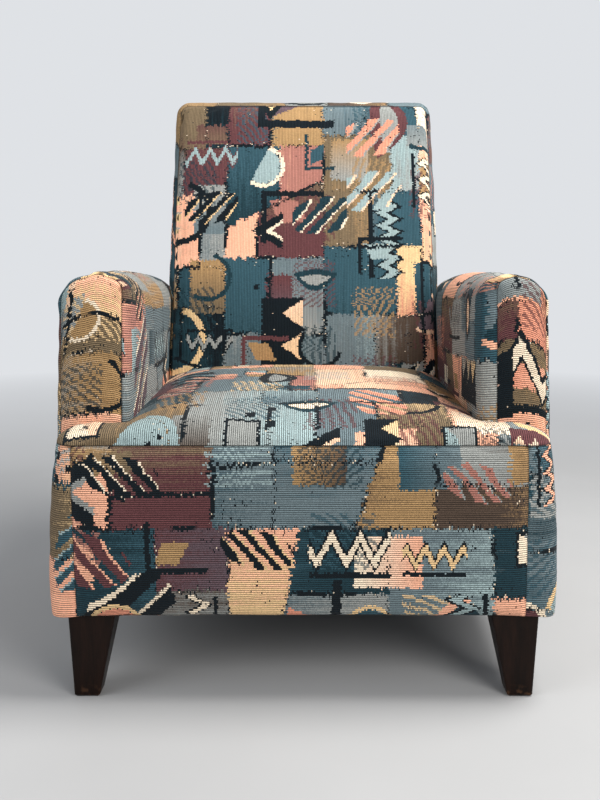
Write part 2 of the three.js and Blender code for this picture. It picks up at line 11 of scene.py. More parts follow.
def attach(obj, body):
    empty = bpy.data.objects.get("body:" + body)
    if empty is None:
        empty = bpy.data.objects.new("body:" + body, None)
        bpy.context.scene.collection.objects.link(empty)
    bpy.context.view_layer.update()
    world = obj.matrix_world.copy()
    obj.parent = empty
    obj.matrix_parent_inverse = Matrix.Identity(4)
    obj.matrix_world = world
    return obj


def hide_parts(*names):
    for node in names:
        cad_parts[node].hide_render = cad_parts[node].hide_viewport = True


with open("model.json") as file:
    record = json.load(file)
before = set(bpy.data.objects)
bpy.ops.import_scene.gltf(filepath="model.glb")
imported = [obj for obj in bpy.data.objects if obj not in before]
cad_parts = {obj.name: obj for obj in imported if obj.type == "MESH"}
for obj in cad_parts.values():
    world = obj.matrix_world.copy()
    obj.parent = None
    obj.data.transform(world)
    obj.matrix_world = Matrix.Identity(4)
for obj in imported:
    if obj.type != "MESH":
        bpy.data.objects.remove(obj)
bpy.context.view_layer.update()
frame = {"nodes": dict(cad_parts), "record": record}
nodes = frame["nodes"]
ROOT = "root"
CLOTH_SEED = 3

# The chair's sizes, most of them as in the CAD model
SEAM_Z = 0.375
LOW_Z = 0.124
TOP_Z = 0.965
INNER_X = 0.273
ARM_WIDTH = 0.107
ARM_TOP = 0.621
FRONT_Y = -0.395
ARM_FRONT = -0.325
ARM_REAR = 0.330
LEAN = math.tan(math.radians(12))
BACK_FRONT_TOP = 0.248
KNEE_Z = 0.560
SEAT_EDGE = 0.400
SEAT_CROWN = 0.027
SEAT_HALF = 0.3705
NOSE = 0.044
EAR = 0.046
CORNER = 0.040
HEM_CORNER = 0.020
BACK_HALF = 0.2724
BACK_TAPER = 0.007
BACK_CORNER = 0.024
REAR_FLARE = 0.07

# How deep a seam lies, how far its roll reaches, and how far the cloth's edge turns in behind it
SINK = 0.0065
BACK_SINK = 0.0095
ROLL = 0.016
ROLL_POWER = 2.2
ALLOWANCE = 0.006

# How far apart a grid's points lie, the extra ones beside a seam, a distance beyond any reach, and a
# length that counts as nothing
PITCH = 0.0105
SEAM_STEPS = (0.0012, 0.0035, 0.007)
FAR = 9.0
TINY = 1e-9

# The farthest distance from a seam that the materials ask for
SEAM_MAP_REACH = 0.05


def clipped(values):
    return np.clip(values, 0, 1)


def back_front(z):
    return BACK_FRONT_TOP - (TOP_Z - z) * LEAN


def back_rear(z):
    return ARM_REAR + REAR_FLARE * np.maximum(0, z - KNEE_Z) / (TOP_Z - KNEE_Z)


def back_half(z):
    share = clipped((z - ARM_TOP) / (TOP_Z - ARM_TOP))
    return BACK_HALF - BACK_TAPER * share**2


def roll(distance, reach=ROLL):
    """1 on a seam, falling to 0 on a rounded curve as the distance from it grows to the reach."""
    t = clipped(1 - np.asarray(distance, float) / reach)
    return 1 - np.sqrt(clipped(1 - t**ROLL_POWER))


def unit(vectors):
    return vectors / np.maximum(np.linalg.norm(vectors, axis=-1, keepdims=True), TINY)


def along(points):
    """Running length along a row of points, from its first point."""
    steps = np.linalg.norm(np.diff(points, axis=0), axis=1)
    return np.concatenate([[0], np.cumsum(steps)])


def spaced(start, end, pitch=PITCH, near=None):
    """Values from start to end about a pitch apart, with the extra ones of near beside both ends."""
    values = np.linspace(start, end, max(2, int(round(abs(end - start) / pitch)) + 1))
    if near is not None:
        extra = np.asarray(near) * np.sign(end - start)
        values = np.unique(np.concatenate([values, start + extra, end - extra]).round(6))
        values = values if end > start else values[::-1]
    return values


# How far apart two seeds read the noise
NOISE_STEP = (7.3, 3.1, 5.7)


def wobble(points, scale, seed):
    """Smooth noise from -1 to 1 at each point."""
    shift = Vector([seed * step for step in NOISE_STEP])
    return np.array([noise.noise(Vector(p) / scale + shift) for p in points])


def flat_of(points, origin=(0, 0), turned=False):
    """Lays a grid out flat by its middle row and column, so that the weave keeps its real size on it."""
    rows, cols = points.shape[:2]
    across = along(points[rows // 2])
    down = along(points[:, cols // 2])
    u = np.broadcast_to(across - across.mean(), (rows, cols))
    v = np.broadcast_to((down - down.mean())[:, None], (rows, cols))
    flat = np.stack([v, u], -1) if turned else np.stack([u, v], -1)
    return flat + np.array(origin)


class Panel:
    """One cut piece of cloth: a grid of points, and the same grid laid out flat.

    centre is a point inside the padding, which the cloth's back faces. edge is how far each point is
    from a seam, where that isn't simply its distance along the grid.

    sewn says which edges are seams: first row, last row, first column, last column. The cloth turns in
    behind each of them. gaps marks the grid's faces that are left out.
    """

    def __init__(self, points, flat, centre, sewn=(1, 1, 1, 1), gaps=None, edge=None):
        points, flat = np.asarray(points, float), np.asarray(flat, float)
        self.centre = np.asarray(centre, float)
        if edge is None:
            edge = self.distance(points, sewn)
        if gaps is None:
            gaps = np.zeros((points.shape[0] - 1, points.shape[1] - 1), bool)
        for side, on in enumerate(sewn):
            if on:
                points, flat, edge, gaps = self.turned_in(side, points, flat, edge, gaps)
        self.points, self.flat, self.edge, self.gaps = points, flat, edge, gaps

    @staticmethod
    def distance(points, sewn):
        """How far each point is from the seams, along the cloth."""
        far = np.full(points.shape[:2], FAR)
        down = np.zeros(points.shape[:2])
        down[1:] = np.cumsum(np.linalg.norm(np.diff(points, axis=0), axis=2), axis=0)
        across = np.zeros(points.shape[:2])
        across[:, 1:] = np.cumsum(np.linalg.norm(np.diff(points, axis=1), axis=2), axis=1)
        for on, reach in zip(sewn, (down, down[-1:] - down, across, across[:, -1:] - across)):
            if on:
                far = np.minimum(far, reach)
        return far

    @staticmethod
    def turned_in(side, points, flat, edge, gaps):
        """The grids with one more row or column, which carries the cloth on behind the seam."""
        last, axis = side % 2, side // 2
        at, by = (-1, -2) if last else (0, 1)
        take = lambda grid, k: np.take(grid, [k], axis=axis)
        new = take(points, at) + unit(take(points, at) - take(points, by)) * ALLOWANCE
        new_flat = take(flat, at) + unit(take(flat, at) - take(flat, by)) * ALLOWANCE
        put = lambda grid, row: np.concatenate([grid, row] if last else [row, grid], axis=axis)
        return put(points, new), put(flat, new_flat), put(edge, take(edge, at) * 0), put(gaps, take(gaps, at))


def placed(name, data):
    obj = bpy.data.objects.new(name, data)
    bpy.context.scene.collection.objects.link(obj)
    return obj


def panel_object(name, panel):
    """The panel's mesh, with its flat place and its distance from a seam as two maps, and that distance."""
    rows, cols = panel.points.shape[:2]
    index = np.arange(rows * cols).reshape(rows, cols)
    faces = np.stack([index[:-1, :-1], index[:-1, 1:], index[1:, 1:], index[1:, :-1]], -1)[~panel.gaps]
    used, faces = np.unique(faces, return_inverse=True)
    faces = faces.reshape(-1, 4)
    points = panel.points.reshape(-1, 3)[used]
    flat = panel.flat.reshape(-1, 2)[used]
    mesh = bpy.data.meshes.new(name)
    mesh.from_pydata(points.tolist(), [], faces.tolist())
    quads = points[faces]
    normal = np.cross(quads[:, 2] - quads[:, 0], quads[:, 3] - quads[:, 1])
    if (normal * (quads.mean(1) - panel.centre)).sum() < 0:
        mesh.flip_normals()
    layer = mesh.uv_layers.new(name="weave")
    loops = np.empty(len(mesh.loops), int)
    mesh.loops.foreach_get("vertex_index", loops)
    layer.data.foreach_set("uv", flat[loops].ravel())
    seam = mesh.uv_layers.new(name="seam")
    far = np.minimum(panel.edge.ravel()[used], SEAM_MAP_REACH)
    seam.data.foreach_set("uv", np.stack([far[loops], np.zeros(len(loops))], 1).ravel())
    mesh.shade_smooth()
    return placed(name, mesh), panel.edge.ravel()[used]


def positions(mesh):
    co = np.empty(len(mesh.vertices) * 3)
    mesh.vertices.foreach_get("co", co)
    return co.reshape(-1, 3)


def border_vertices(mesh):
    uses = {}
    for polygon in mesh.polygons:
        for key in polygon.edge_keys:
            uses[key] = uses.get(key, 0) + 1
    return {v for key, count in uses.items() if count == 1 for v in key}


# How the cloth behaves while it blows up over its padding, and how near to a seam it holds still
CLOTH_FRAMES = 16
HELD = 0.0025
CLOTH = {
    "quality": 6,
    "mass": 0.3,
    "tension_stiffness": 14,
    "compression_stiffness": 14,
    "shear_stiffness": 6,
    "bending_stiffness": 0.4,
    "use_pressure": True,
    "uniform_pressure_force": 4,
    "vertex_group_mass": "sewn",
}


def settle(obj, edge, swell, slack):
    """Blows the cloth up a little while its seams hold, which wrinkles it beside them.

    slack is how much longer the cloth is than its padding, and swell the most that it rises.
    """
    before = positions(obj.data)
    held = border_vertices(obj.data) | set(np.nonzero(edge < HELD)[0].tolist())
    group = obj.vertex_groups.new(name="sewn")
    group.add(sorted(int(i) for i in held), 1.0, "REPLACE")
    cloth = obj.modifiers.new("Cloth", "CLOTH")
    for key, value in CLOTH.items():
        setattr(cloth.settings, key, value)
    cloth.settings.shrink_min = -slack
    cloth.settings.effector_weights.gravity = 0
    cloth.collision_settings.use_collision = False
    scene = bpy.context.scene
    for f in range(1, CLOTH_FRAMES + 1):
        scene.frame_set(f)
    done = obj.evaluated_get(bpy.context.evaluated_depsgraph_get())
    after = positions(done.data)
    obj.modifiers.remove(cloth)
    obj.vertex_groups.clear()
    scene.frame_set(1)
    move = after - before
    size = np.linalg.norm(move, axis=1, keepdims=True)
    capped = swell * np.tanh(size / swell)
    move *= np.divide(capped, size, out=np.zeros_like(size), where=size > TINY)
    obj.data.vertices.foreach_set("co", (before + move).ravel())
    obj.data.update()


# How broad the dents and the puckers are, how far from a seam they start and end, and how many seeds
# the pieces' names may give
BROAD_DENT = 0.13
LESSER_DENT = 0.055
LESSER_SHARE = 0.45
DENT_REACH = 0.045
PUCKER = 0.0013
PUCKER_SIZE = 0.019
PUCKER_START = 0.006
PUCKER_REACH = 0.028
SEEDS = 97


def soften(obj, edge, seed, dent):
    """Old padding's soft dents, and small puckers that run in from the seams."""
    co = positions(obj.data)
    normal = np.array([v.normal for v in obj.data.vertices])
    broad = wobble(co, BROAD_DENT, seed) + LESSER_SHARE * wobble(co, LESSER_DENT, seed + 3)
    fine = wobble(co, PUCKER_SIZE, seed + 5)
    inside = clipped(edge / DENT_REACH)
    near = clipped(edge / PUCKER_START) * np.exp(-edge / PUCKER_REACH)
    shift = dent * broad * inside + PUCKER * fine * near
    obj.data.vertices.foreach_set("co", (co + normal * shift[:, None]).ravel())
    obj.data.update()


def subdivide(obj):
    smooth = obj.modifiers.new("Subdivision", "SUBSURF")
    smooth.levels = smooth.render_levels = 1
    smooth.boundary_smooth = "PRESERVE_CORNERS"


def sew(name, panels, replaced, swell=0.004, slack=0.012, dent=0.0020, cloth=None):
    """Makes one upholstered piece from its panels, in place of the replaced solids."""
    made = []
    for i, panel in enumerate(panels):
        obj, edge = panel_object(f"{name}_{i}", panel)
        settle(obj, edge, swell, slack)
        soften(obj, edge, sum(map(ord, name)) % SEEDS + i, dent)
        made.append(obj)
    if len(made) > 1:
        with bpy.context.temp_override(active_object=made[0], selected_editable_objects=made):
            bpy.ops.object.join()
    whole = made[0]
    whole.name = whole.data.name = name
    whole.data.materials.append(cloth or tapestry)
    subdivide(whole)
    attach(whole, ROOT)
    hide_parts(*replaced)
    return whole


# Materials: a small kit for writing node maths as plain formulas
def node_maths(operation, flipped=False):
    """A method of Value that adds one node. flipped is for a number that comes before the value."""

    def method(value, *others):
        return value.sheet.math(operation, *((*others, value) if flipped else (value, *others)))

    return method


class Value:
    """A number inside a material. Formulas with it build the nodes that work them out."""

    def __init__(self, sheet, socket):
        self.sheet = sheet
        self.socket = socket

    __add__ = node_maths("ADD")
    __sub__ = node_maths("SUBTRACT")
    __rsub__ = node_maths("SUBTRACT", flipped=True)
    __mul__ = node_maths("MULTIPLY")
    __truediv__ = node_maths("DIVIDE")
    __lt__ = node_maths("LESS_THAN")
    __gt__ = node_maths("GREATER_THAN")
    __abs__ = node_maths("ABSOLUTE")
    floor = node_maths("FLOOR")
    part = node_maths("FRACT")
    sine = node_maths("SINE")
    root = node_maths("SQRT")
    fold = node_maths("PINGPONG")
    least = node_maths("MINIMUM")
    most = node_maths("MAXIMUM")

    def within(self, low, high):
        return self.sheet.math("COMPARE", self, (low + high) / 2, (high - low) / 2)


# The colour sockets of a mix node
MIX_FIRST = 6
MIX_SECOND = 7
MIX_RESULT = 2


class Sheet:
    """One material's node tree, with short calls for what goes into it."""

    def __init__(self, name):
        self.material = bpy.data.materials.new(name)
        self.material.use_nodes = True
        self.tree = self.material.node_tree
        self.tree.nodes.clear()
        self.surface = self.add("ShaderNodeBsdfPrincipled")
        out = self.add("ShaderNodeOutputMaterial")
        self.tree.links.new(self.surface.outputs[0], out.inputs["Surface"])

    def add(self, kind, **facts):
        node = self.tree.nodes.new(kind)
        for key, value in facts.items():
            setattr(node, key, value)
        return node

    def feed(self, socket, value):
        if isinstance(value, Value):
            value = value.socket
        if isinstance(value, bpy.types.NodeSocket):
            self.tree.links.new(value, socket)
        else:
            socket.default_value = value

    def paint(self, **values):
        for name, value in values.items():
            self.feed(self.surface.inputs[name.replace("_", " ")], value)

    def math(self, operation, *values):
        node = self.add("ShaderNodeMath", operation=operation)
        for socket, value in zip(node.inputs, values):
            self.feed(socket, value)
        return Value(self, node.outputs[0])

    def split(self, vector):
        node = self.add("ShaderNodeSeparateXYZ")
        self.feed(node.inputs[0], vector)
        return [Value(self, out) for out in node.outputs]

    def join(self, x, y, z=0.0):
        node = self.add("ShaderNodeCombineXYZ")
        for socket, value in zip(node.inputs, (x, y, z)):
            self.feed(socket, value)
        return node.outputs[0]

    def place(self, scale=(1, 1, 1)):
        node = self.add("ShaderNodeVectorMath", operation="MULTIPLY")
        self.feed(node.inputs[0], self.add("ShaderNodeTexCoord").outputs["Object"])
        node.inputs[1].default_value = scale
        return node.outputs[0]

    def mix(self, share, a, b):
        node = self.add("ShaderNodeMix", data_type="RGBA")
        self.feed(node.inputs[0], share)
        self.feed(node.inputs[MIX_FIRST], a)
        self.feed(node.inputs[MIX_SECOND], b)
        return node.outputs[MIX_RESULT]

    def tone(self, colour, strength):
        node = self.add("ShaderNodeVectorMath", operation="SCALE")
        self.feed(node.inputs[0], colour[:3] if isinstance(colour, tuple) else colour)
        self.feed(node.inputs["Scale"], strength)
        return node.outputs[0]

    def ramp(self, value, low, high, to_low=0.0, to_high=1.0):
        node = self.add("ShaderNodeMapRange")
        for socket, v in zip(node.inputs, (value, low, high, to_low, to_high)):
            self.feed(socket, v)
        return Value(self, node.outputs[0])

    def noise(self, vector, scale, detail=1.0, rough=0.5):
        node = self.add("ShaderNodeTexNoise")
        self.feed(node.inputs["Vector"], vector)
        self.feed(node.inputs["Scale"], scale)
        self.feed(node.inputs["Detail"], detail)
        self.feed(node.inputs["Roughness"], rough)
        return Value(self, node.outputs["Fac"])

    def dice(self, a, b, seed):
        """Three random numbers from 0 to 1 that stay the same for the same three inputs."""
        node = self.add("ShaderNodeTexWhiteNoise", noise_dimensions="3D")
        self.feed(node.inputs["Vector"], self.join(a, b, seed))
        return self.split(node.outputs["Color"])

    def choose(self, pick, yarns):
        """One yarn of the list, by a number from 0 to 1."""
        node = self.add("ShaderNodeValToRGB")
        stops = node.color_ramp
        stops.interpolation = "CONSTANT"
        for i, yarn in enumerate(yarns):
            stop = stops.elements[i] if i < 2 else stops.elements.new(i / len(yarns))
            stop.position = i / len(yarns)
            stop.color = YARN[yarn]
        self.feed(node.inputs[0], pick)
        return node.outputs[0]

    def bump(self, height, distance, strength=1.0):
        node = self.add("ShaderNodeBump")
        self.feed(node.inputs["Height"], height)
        node.inputs["Distance"].default_value = distance
        node.inputs["Strength"].default_value = strength
        self.tree.links.new(node.outputs[0], self.surface.inputs["Normal"])


def rgb(red, green, blue):
    """A linear colour from screen values of 0 to 255, by the sRGB formula."""
    screen = np.array([red, green, blue]) / 255
    linear = np.where(screen <= 0.04045, screen / 12.92, ((screen + 0.055) / 1.055) ** 2.4)
    return (*linear.tolist(), 1.0)


# Yarns of the cloth, and the pairs that its fields fade between
YARN = {
    "salmon": rgb(228, 168, 138),
    "coral": rgb(214, 142, 116),
    "rose": rgb(160, 108, 96),
    "peach": rgb(228, 190, 158),
    "cream": rgb(228, 210, 184),
    "sand": rgb(218, 184, 136),
    "ochre": rgb(158, 126, 86),
    "khaki": rgb(110, 94, 72),
    "brown": rgb(76, 62, 52),
    "maroon": rgb(90, 54, 56),
    "plum": rgb(88, 72, 78),
    "teal": rgb(24, 50, 58),
    "petrol": rgb(46, 76, 86),
    "mist": rgb(142, 160, 160),
    "slate": rgb(98, 112, 116),
    "grey": rgb(140, 142, 138),
    "navy": rgb(7, 18, 24),
}
FIELDS = """
    salmon peach, grey slate, teal petrol, coral sand, khaki ochre, slate mist, maroon khaki, peach salmon,
    grey brown, petrol slate, brown ochre, sand salmon, slate grey, teal navy, salmon cream, khaki sand,
    slate teal, ochre grey, petrol teal, peach cream, grey mist, maroon plum, salmon coral, ochre khaki,
    slate petrol, salmon rose, grey grey
"""
FIRST_YARNS, SECOND_YARNS = zip(*(pair.split() for pair in FIELDS.split(",")))
DARKS = "navy teal navy navy maroon navy navy".split()
LIGHTS = "cream sand mist salmon cream peach grey".split()
MIDS = "rose mist ochre maroon petrol coral plum teal sand".split()

# How wide a rib, a thread and a stitch are, and how far a ragged edge runs before it changes
RIB = 0.0031
THREAD = 0.0022
STITCH = 0.0016
RAGGED = 0.05

# The threads' tone and how much it varies, the painted shade in a seam, and the painted highlight on the roll
# beside it
CLOTH_TONE = 1.14
MOTTLE = 0.26
SEAM_SHADE_START = 0.0006
SEAM_SHADE_END = 0.0022
SEAM_SHADE_TONE = 0.30
ROLL_HIGHLIGHT_TONE = 0.12
RIB_DEPTH = 0.0011

# The part of the lot, from 0 to 1, that each drawn shape has
LOTS = {
    "window": (0.0, 0.08),
    "zigzag": (0.08, 0.22),
    "reeds": (0.22, 0.35),
    "teeth": (0.35, 0.42),
    "arc": (0.42, 0.54),
    "leaf": (0.54, 0.63),
    "corner": (0.63, 0.75),
    "squares": (0.75, 0.86),
    "chevron": (0.86, 0.94),
}


class Weave:
    """The cloth's pattern, from its flat coordinates in metres.

    A random number times a factor, of which part() is taken, serves as one more random number.
    """

    def __init__(self, sheet, seed):
        self.s = s = sheet
        self.seed = seed
        uv = s.add("ShaderNodeUVMap", uv_map="weave").outputs[0]
        self.uv = uv
        u, v, _ = s.split(uv)
        self.u, self.v = u, v
        self.thread = (u / THREAD).floor()
        self.rib = (v / RIB).floor()
        # The loom moves a colour's edge by whole threads, so every edge is a ragged comb
        lump = s.noise(uv, 16.0)
        sway = s.noise(uv, 8.0) - 0.5
        reach = s.ramp(lump, 0.40, 0.64, 0.0015, 0.0105)
        comb_u = s.dice(self.rib, (u / RAGGED).floor(), seed + 1)[0] - 0.5
        comb_v = s.dice(self.thread, (v / RAGGED).floor(), seed + 2)[0] - 0.5
        snap_u = self.thread * THREAD
        snap_v = self.rib * RIB
        self.rough = (snap_u + comb_u * reach + sway * 0.012, snap_v + comb_v * reach + sway * 0.010)
        self.crisp = (snap_u + comb_u * 0.0028 + sway * 0.008, snap_v + comb_v * 0.0028 + sway * 0.006)
        self.stray, self.ghost, self.mottle = s.dice((u / STITCH).floor(), self.rib, seed + 90)
        self.colour = None

    def cell(self, place, wide, high, seed):
        """The brick-like cell that a point lies in, and the point's place in it from 0 to 1."""
        s = self.s
        up = place[1] / high
        row = up.floor()
        along = place[0] / wide + s.dice(row, 0.0, self.seed + seed)[0]
        col = along.floor()
        return col, row, along - col, up - row

    def lay(self, mask, yarn):
        self.colour = self.s.mix(mask, self.colour, YARN[yarn] if isinstance(yarn, str) else yarn)

    def fields(self, wide, high):
        """Brick cells that are each cut once or twice, and fade from one yarn to another."""
        s = self.s
        col, row, x, y = self.cell(self.rough, wide, high, 10)
        cut, lift, kind = s.dice(col, row, self.seed + 11)
        tilt = ((kind * 9.0).part() - 0.5) * ((kind * 23.0).part() > 0.45)
        upright = cut * 0.4 + 0.3 + (y - 0.5) * tilt
        right = (x > upright) * (kind > 0.18)
        level = lift * 0.34 + 0.22 + right * 0.22
        above = (y > level) * (kind < 0.86)
        pick, lean, fade = s.dice(col, row, right + above * 2 + self.seed + 12)
        # The fade is brushed out along the ribs
        brush = s.noise(s.join(self.u * 8.0, self.v * 110.0), 1.0, 2.0) - 0.5
        t = s.math("MULTIPLY_ADD", lean > 0.5, y - x, x) + (self.mottle - 0.5) * 0.2 + brush * 0.9
        t = s.ramp(t, fade * 0.5, fade * 0.5 + 0.5)
        self.colour = s.mix(t, s.choose(pick, FIRST_YARNS), s.choose(pick, SECOND_YARNS))
        near_x = abs(x - upright).least(x).least(1 - x) * wide
        near_y = abs(y - level).least(y).least(1 - y) * high
        return near_x.least(near_y)

    def patches(self, wide, high, share):
        """Smaller ragged blocks over the fields."""
        s = self.s
        col, row, x, y = self.cell(self.rough, wide, high, 20)
        size, pick, some = s.dice(col, row, self.seed + 21)
        dx = abs(x - 0.5) * wide
        dy = abs(y - 0.45) * high
        block = (dx < size * 0.040 + 0.016) * (dy < pick * 0.034 + 0.012) * (some < share)
        pick = (pick * 7.0).part()
        fade = s.ramp(x, 0.25, 0.75)
        self.lay(block, s.mix(fade, s.choose(pick, SECOND_YARNS), s.choose(pick, FIRST_YARNS)))

    def motifs(self, wide, high, seed, grown, share):
        """One drawn shape in each cell that the lot falls on. grown is the shapes' size."""
        s = self.s
        col, row, x, y = self.cell(self.crisp, wide, high, seed)
        shift_x, shift_y, turn = s.dice(col, row, self.seed + seed + 1)
        kind, big, shade = s.dice(col, row, self.seed + seed + 2)
        size = (big * 0.55 + 0.85) * grown
        drawn = (big * 17.0).part() < share
        x = ((x - 0.5) * wide + (shift_x - 0.5) * 0.024) / size
        y = ((y - 0.5) * high + (shift_y - 0.5) * 0.020) / size
        # Half of the shapes take a quarter turn
        over = turn > 0.55
        x, y = x + over * (y - x), y - over * (y + x)
        dark = s.choose(shade, DARKS)
        light = s.choose((shade * 7.0).part(), LIGHTS)
        other = s.choose((shade * 13.0).part(), LIGHTS)
        middle = s.choose((shade * 31.0).part(), MIDS)
        far_x, far_y = abs(x), abs(y)

        def box(half_x, half_y):
            return (far_x < half_x) * (far_y < half_y)

        def lot(shape):
            return drawn * kind.within(*LOTS[shape])

        # A window with a dark frame and a slanting or level split
        on = lot("window")
        self.lay(on * box(0.0275, 0.0225), dark)
        self.lay(on * box(0.0235, 0.0185), light)
        self.lay(on * box(0.0235, 0.0185) * (y < x * (turn * 4.0 - 2.0)), other)
        # A thick zigzag with a dark outline over a bar
        on = lot("zigzag") * (far_x < 0.050)
        rise = y - x.fold(shade * 0.009 + 0.008) * 1.9 + 0.008
        self.lay(on * (abs(rise) < 0.0115), dark)
        self.lay(on * (abs(rise + 0.001) < 0.0065), light)
        self.lay(on * y.within(-0.0255, -0.0195), dark)
        # Swaying bands of three colours, like reeds, in a leaning oval
        oval = (x + y * 0.5) * (x + y * 0.5) / 0.0036 + y * y / 0.0011
        on = lot("reeds") * (oval < 1.0)
        run = ((x + y * 0.6 + (y * 58.0 + x * 26.0).sine() * 0.012) / 0.034).part()
        self.lay(on * (run < 0.62), other)
        self.lay(on * (run < 0.50), s.mix(shade > 0.5, dark, middle))
        # A row of filled teeth under a lighter sky
        on = lot("teeth") * (far_x < 0.042)
        teeth = y - x.fold(0.014) * 1.5
        self.lay(on * y.within(-0.020, 0.016), s.mix(s.ramp(x, -0.04, 0.04), light, other))
        self.lay(on * (teeth < -0.002) * (y > -0.020), dark)
        # An arc, with a filled half under it
        on = lot("arc") * (y > x * 0.5 - 0.006)
        away = (x * x + y * y).root()
        self.lay(on * (away < 0.030) * (shade > 0.5), middle)
        self.lay(on * away.within(0.0305, 0.0370), s.mix(shade > 0.4, dark, light))
        # A pointed leaf with a lighter core
        on = lot("leaf")
        lens = abs(y + x * x * 8.0 - 0.004) + x * x * 14.0
        self.lay(on * (lens < 0.019), dark)
        self.lay(on * (lens < 0.009), light)
        # A corner drawn with one thick and one thin line
        on = lot("corner") * (x > -0.0336) * (y > -0.0276) * box(0.050, 0.042)
        self.lay(on * (abs(x + 0.030).least(abs(y + 0.024)) < 0.0038), dark)
        self.lay(on * (x - y * 0.5).within(-0.016, 0.020) * (far_y < 0.015), middle)
        # Three little squares
        on = lot("squares")
        low = (abs(far_x - 0.0125) < 0.0042) * (abs(y - 0.008) < 0.0040)
        self.lay(on * low.most((far_x < 0.0042) * (abs(y + 0.010) < 0.0040)), "navy")
        # A chevron
        on = lot("chevron") * (x < 0.026)
        wedge = far_y - x * 0.62
        self.lay(on * (wedge < 0.016) * (wedge > 0.002), dark)
        self.lay(on * (wedge < 0.002) * (wedge > -0.004), light)

    def strokes(self, wide, high, seed, share):
        """Faint slanting brush strokes that fill some cells."""
        s = self.s
        col, row, x, y = self.cell(self.rough, wide, high, seed)
        some, slant, pick = s.dice(col, row, self.seed + seed + 1)
        run = x * wide * (slant * 3.0 - 1.5) + y * high + s.noise(self.uv, 30.0) * 0.016
        stripe = ((run / 0.0145).part() < 0.42) * (some < share)
        inside = (abs(x - 0.5) < 0.36) * (abs(y - 0.5) < 0.34)
        self.lay(stripe * inside * 0.72, s.choose(pick, MIDS))

    def flecks(self, edge):
        """Dark and pale stitches along the fields' edges, and a few strays."""
        s = self.s
        drift = s.ramp(s.noise(self.uv, 15.0), 0.58, 0.74, 0.001, 0.10)
        drawn = s.ramp(s.noise(self.uv, 9.0), 0.53, 0.56)
        self.lay((edge < 0.0034) * drawn, "navy")
        seamy = (edge < 0.0040) * s.ramp(s.noise(self.uv, 24.0), 0.42, 0.60, 0.05, 0.36)
        self.lay(self.stray < drift * 0.7 + seamy, "navy")
        self.lay((self.ghost < drift * 0.08 + seamy * 0.08) * 0.8, "cream")

    def finish(self, gap):
        """The rib's roundness, painted shade in the rib's gaps and in the seams, a painted highlight on the
        rolls beside the seams, dyed and faded threads, and the height for the bump.

        gap is the heights between which the painted shade in a rib's gap shades off, and how dark it is
        at its deepest.
        """
        s = self.s
        across = abs((self.v / RIB).part() - 0.5)
        cross = abs((self.u / THREAD).part() - 0.5)
        height = (1.0 - across * across * 3.6) * (1.0 - cross * cross * 0.6)
        streak = s.noise(s.join(self.u * 9.0, self.v / RIB * 0.9, 5.0), 1.0)
        cloud = s.noise(self.uv, 4.0, 3.0)
        tone = s.ramp(streak, 0.25, 0.75, -0.15, 0.13) + s.ramp(cloud, 0.3, 0.7, -0.09, 0.09)
        tone = tone + self.mottle * MOTTLE + CLOTH_TONE
        # Painted shade: the gaps between the ribs are darkened in the colour
        low, high, dark = gap
        shade = s.ramp(height, low, high, dark, 1.0)
        # Painted shade darkens the seams, and a painted highlight makes the rolls beside them paler
        seam, _, _ = s.split(s.add("ShaderNodeUVMap", uv_map="seam").outputs[0])
        shade = shade * s.ramp(seam, SEAM_SHADE_START, SEAM_SHADE_END, SEAM_SHADE_TONE, 1.0)
        # Painted highlight: the rolls beside the seams are paled in the colour
        wear_and_highlight = s.ramp(seam, SEAM_SHADE_END, 0.0040, 0.0, ROLL_HIGHLIGHT_TONE) * s.ramp(seam, 0.005, 0.009, 1.0, 0.0)
        shade = shade * (wear_and_highlight + 1.0)
        s.paint(Base_Color=s.tone(self.colour, tone * shade), Roughness=s.ramp(height, 0.0, 1.0, 0.97, 0.82))
        fluff = s.noise(self.uv, 800.0, 0.0)
        s.bump(height + fluff * 0.25 + self.mottle * 0.15, RIB_DEPTH, 0.9)


def tapestry_material(name, gap):
    s = Sheet(name)
    weave = Weave(s, CLOTH_SEED)
    edge = weave.fields(wide=0.235, high=0.200)
    weave.patches(wide=0.160, high=0.145, share=0.50)
    weave.strokes(wide=0.135, high=0.120, seed=30, share=0.40)
    weave.motifs(wide=0.260, high=0.215, seed=60, grown=1.7, share=0.6)
    weave.motifs(wide=0.130, high=0.112, seed=40, grown=1.0, share=0.8)
    weave.flecks(edge)
    weave.finish(gap)
    s.paint(Specular_IOR_Level=0.15, Sheen_Weight=0.05, Sheen_Roughness=0.5)
    return s.material


def wood_material(name, dark, light, grain, rough, run):
    """Straight-grained wood. run stretches the grain along one axis."""
    s = Sheet(name)
    place = s.place(run)
    warp = s.noise(place, grain * 0.35, 2.0)
    bent = s.add("ShaderNodeVectorMath", operation="ADD")
    s.feed(bent.inputs[0], place)
    s.feed(bent.inputs[1], s.join(warp * 0.05, warp * 0.03))
    lines = s.noise(bent.outputs[0], grain * 4, 5.0, 0.6)
    pores = s.ramp(s.noise(bent.outputs[0], grain * 22, 2.0), 0.42, 0.58)
    colour = s.mix(s.ramp(lines, 0.32, 0.7), dark, light)
    colour = s.tone(colour, pores * 0.3 + 0.7)
    wear_and_highlight = s.noise(s.place(), 30.0, 3.0)
    s.paint(Base_Color=colour, Roughness=s.ramp(wear_and_highlight, 0.3, 0.7, rough - 0.05, rough + 0.09))
    s.bump(lines + pores * 0.4, 0.0003, 0.5)
    return s.material


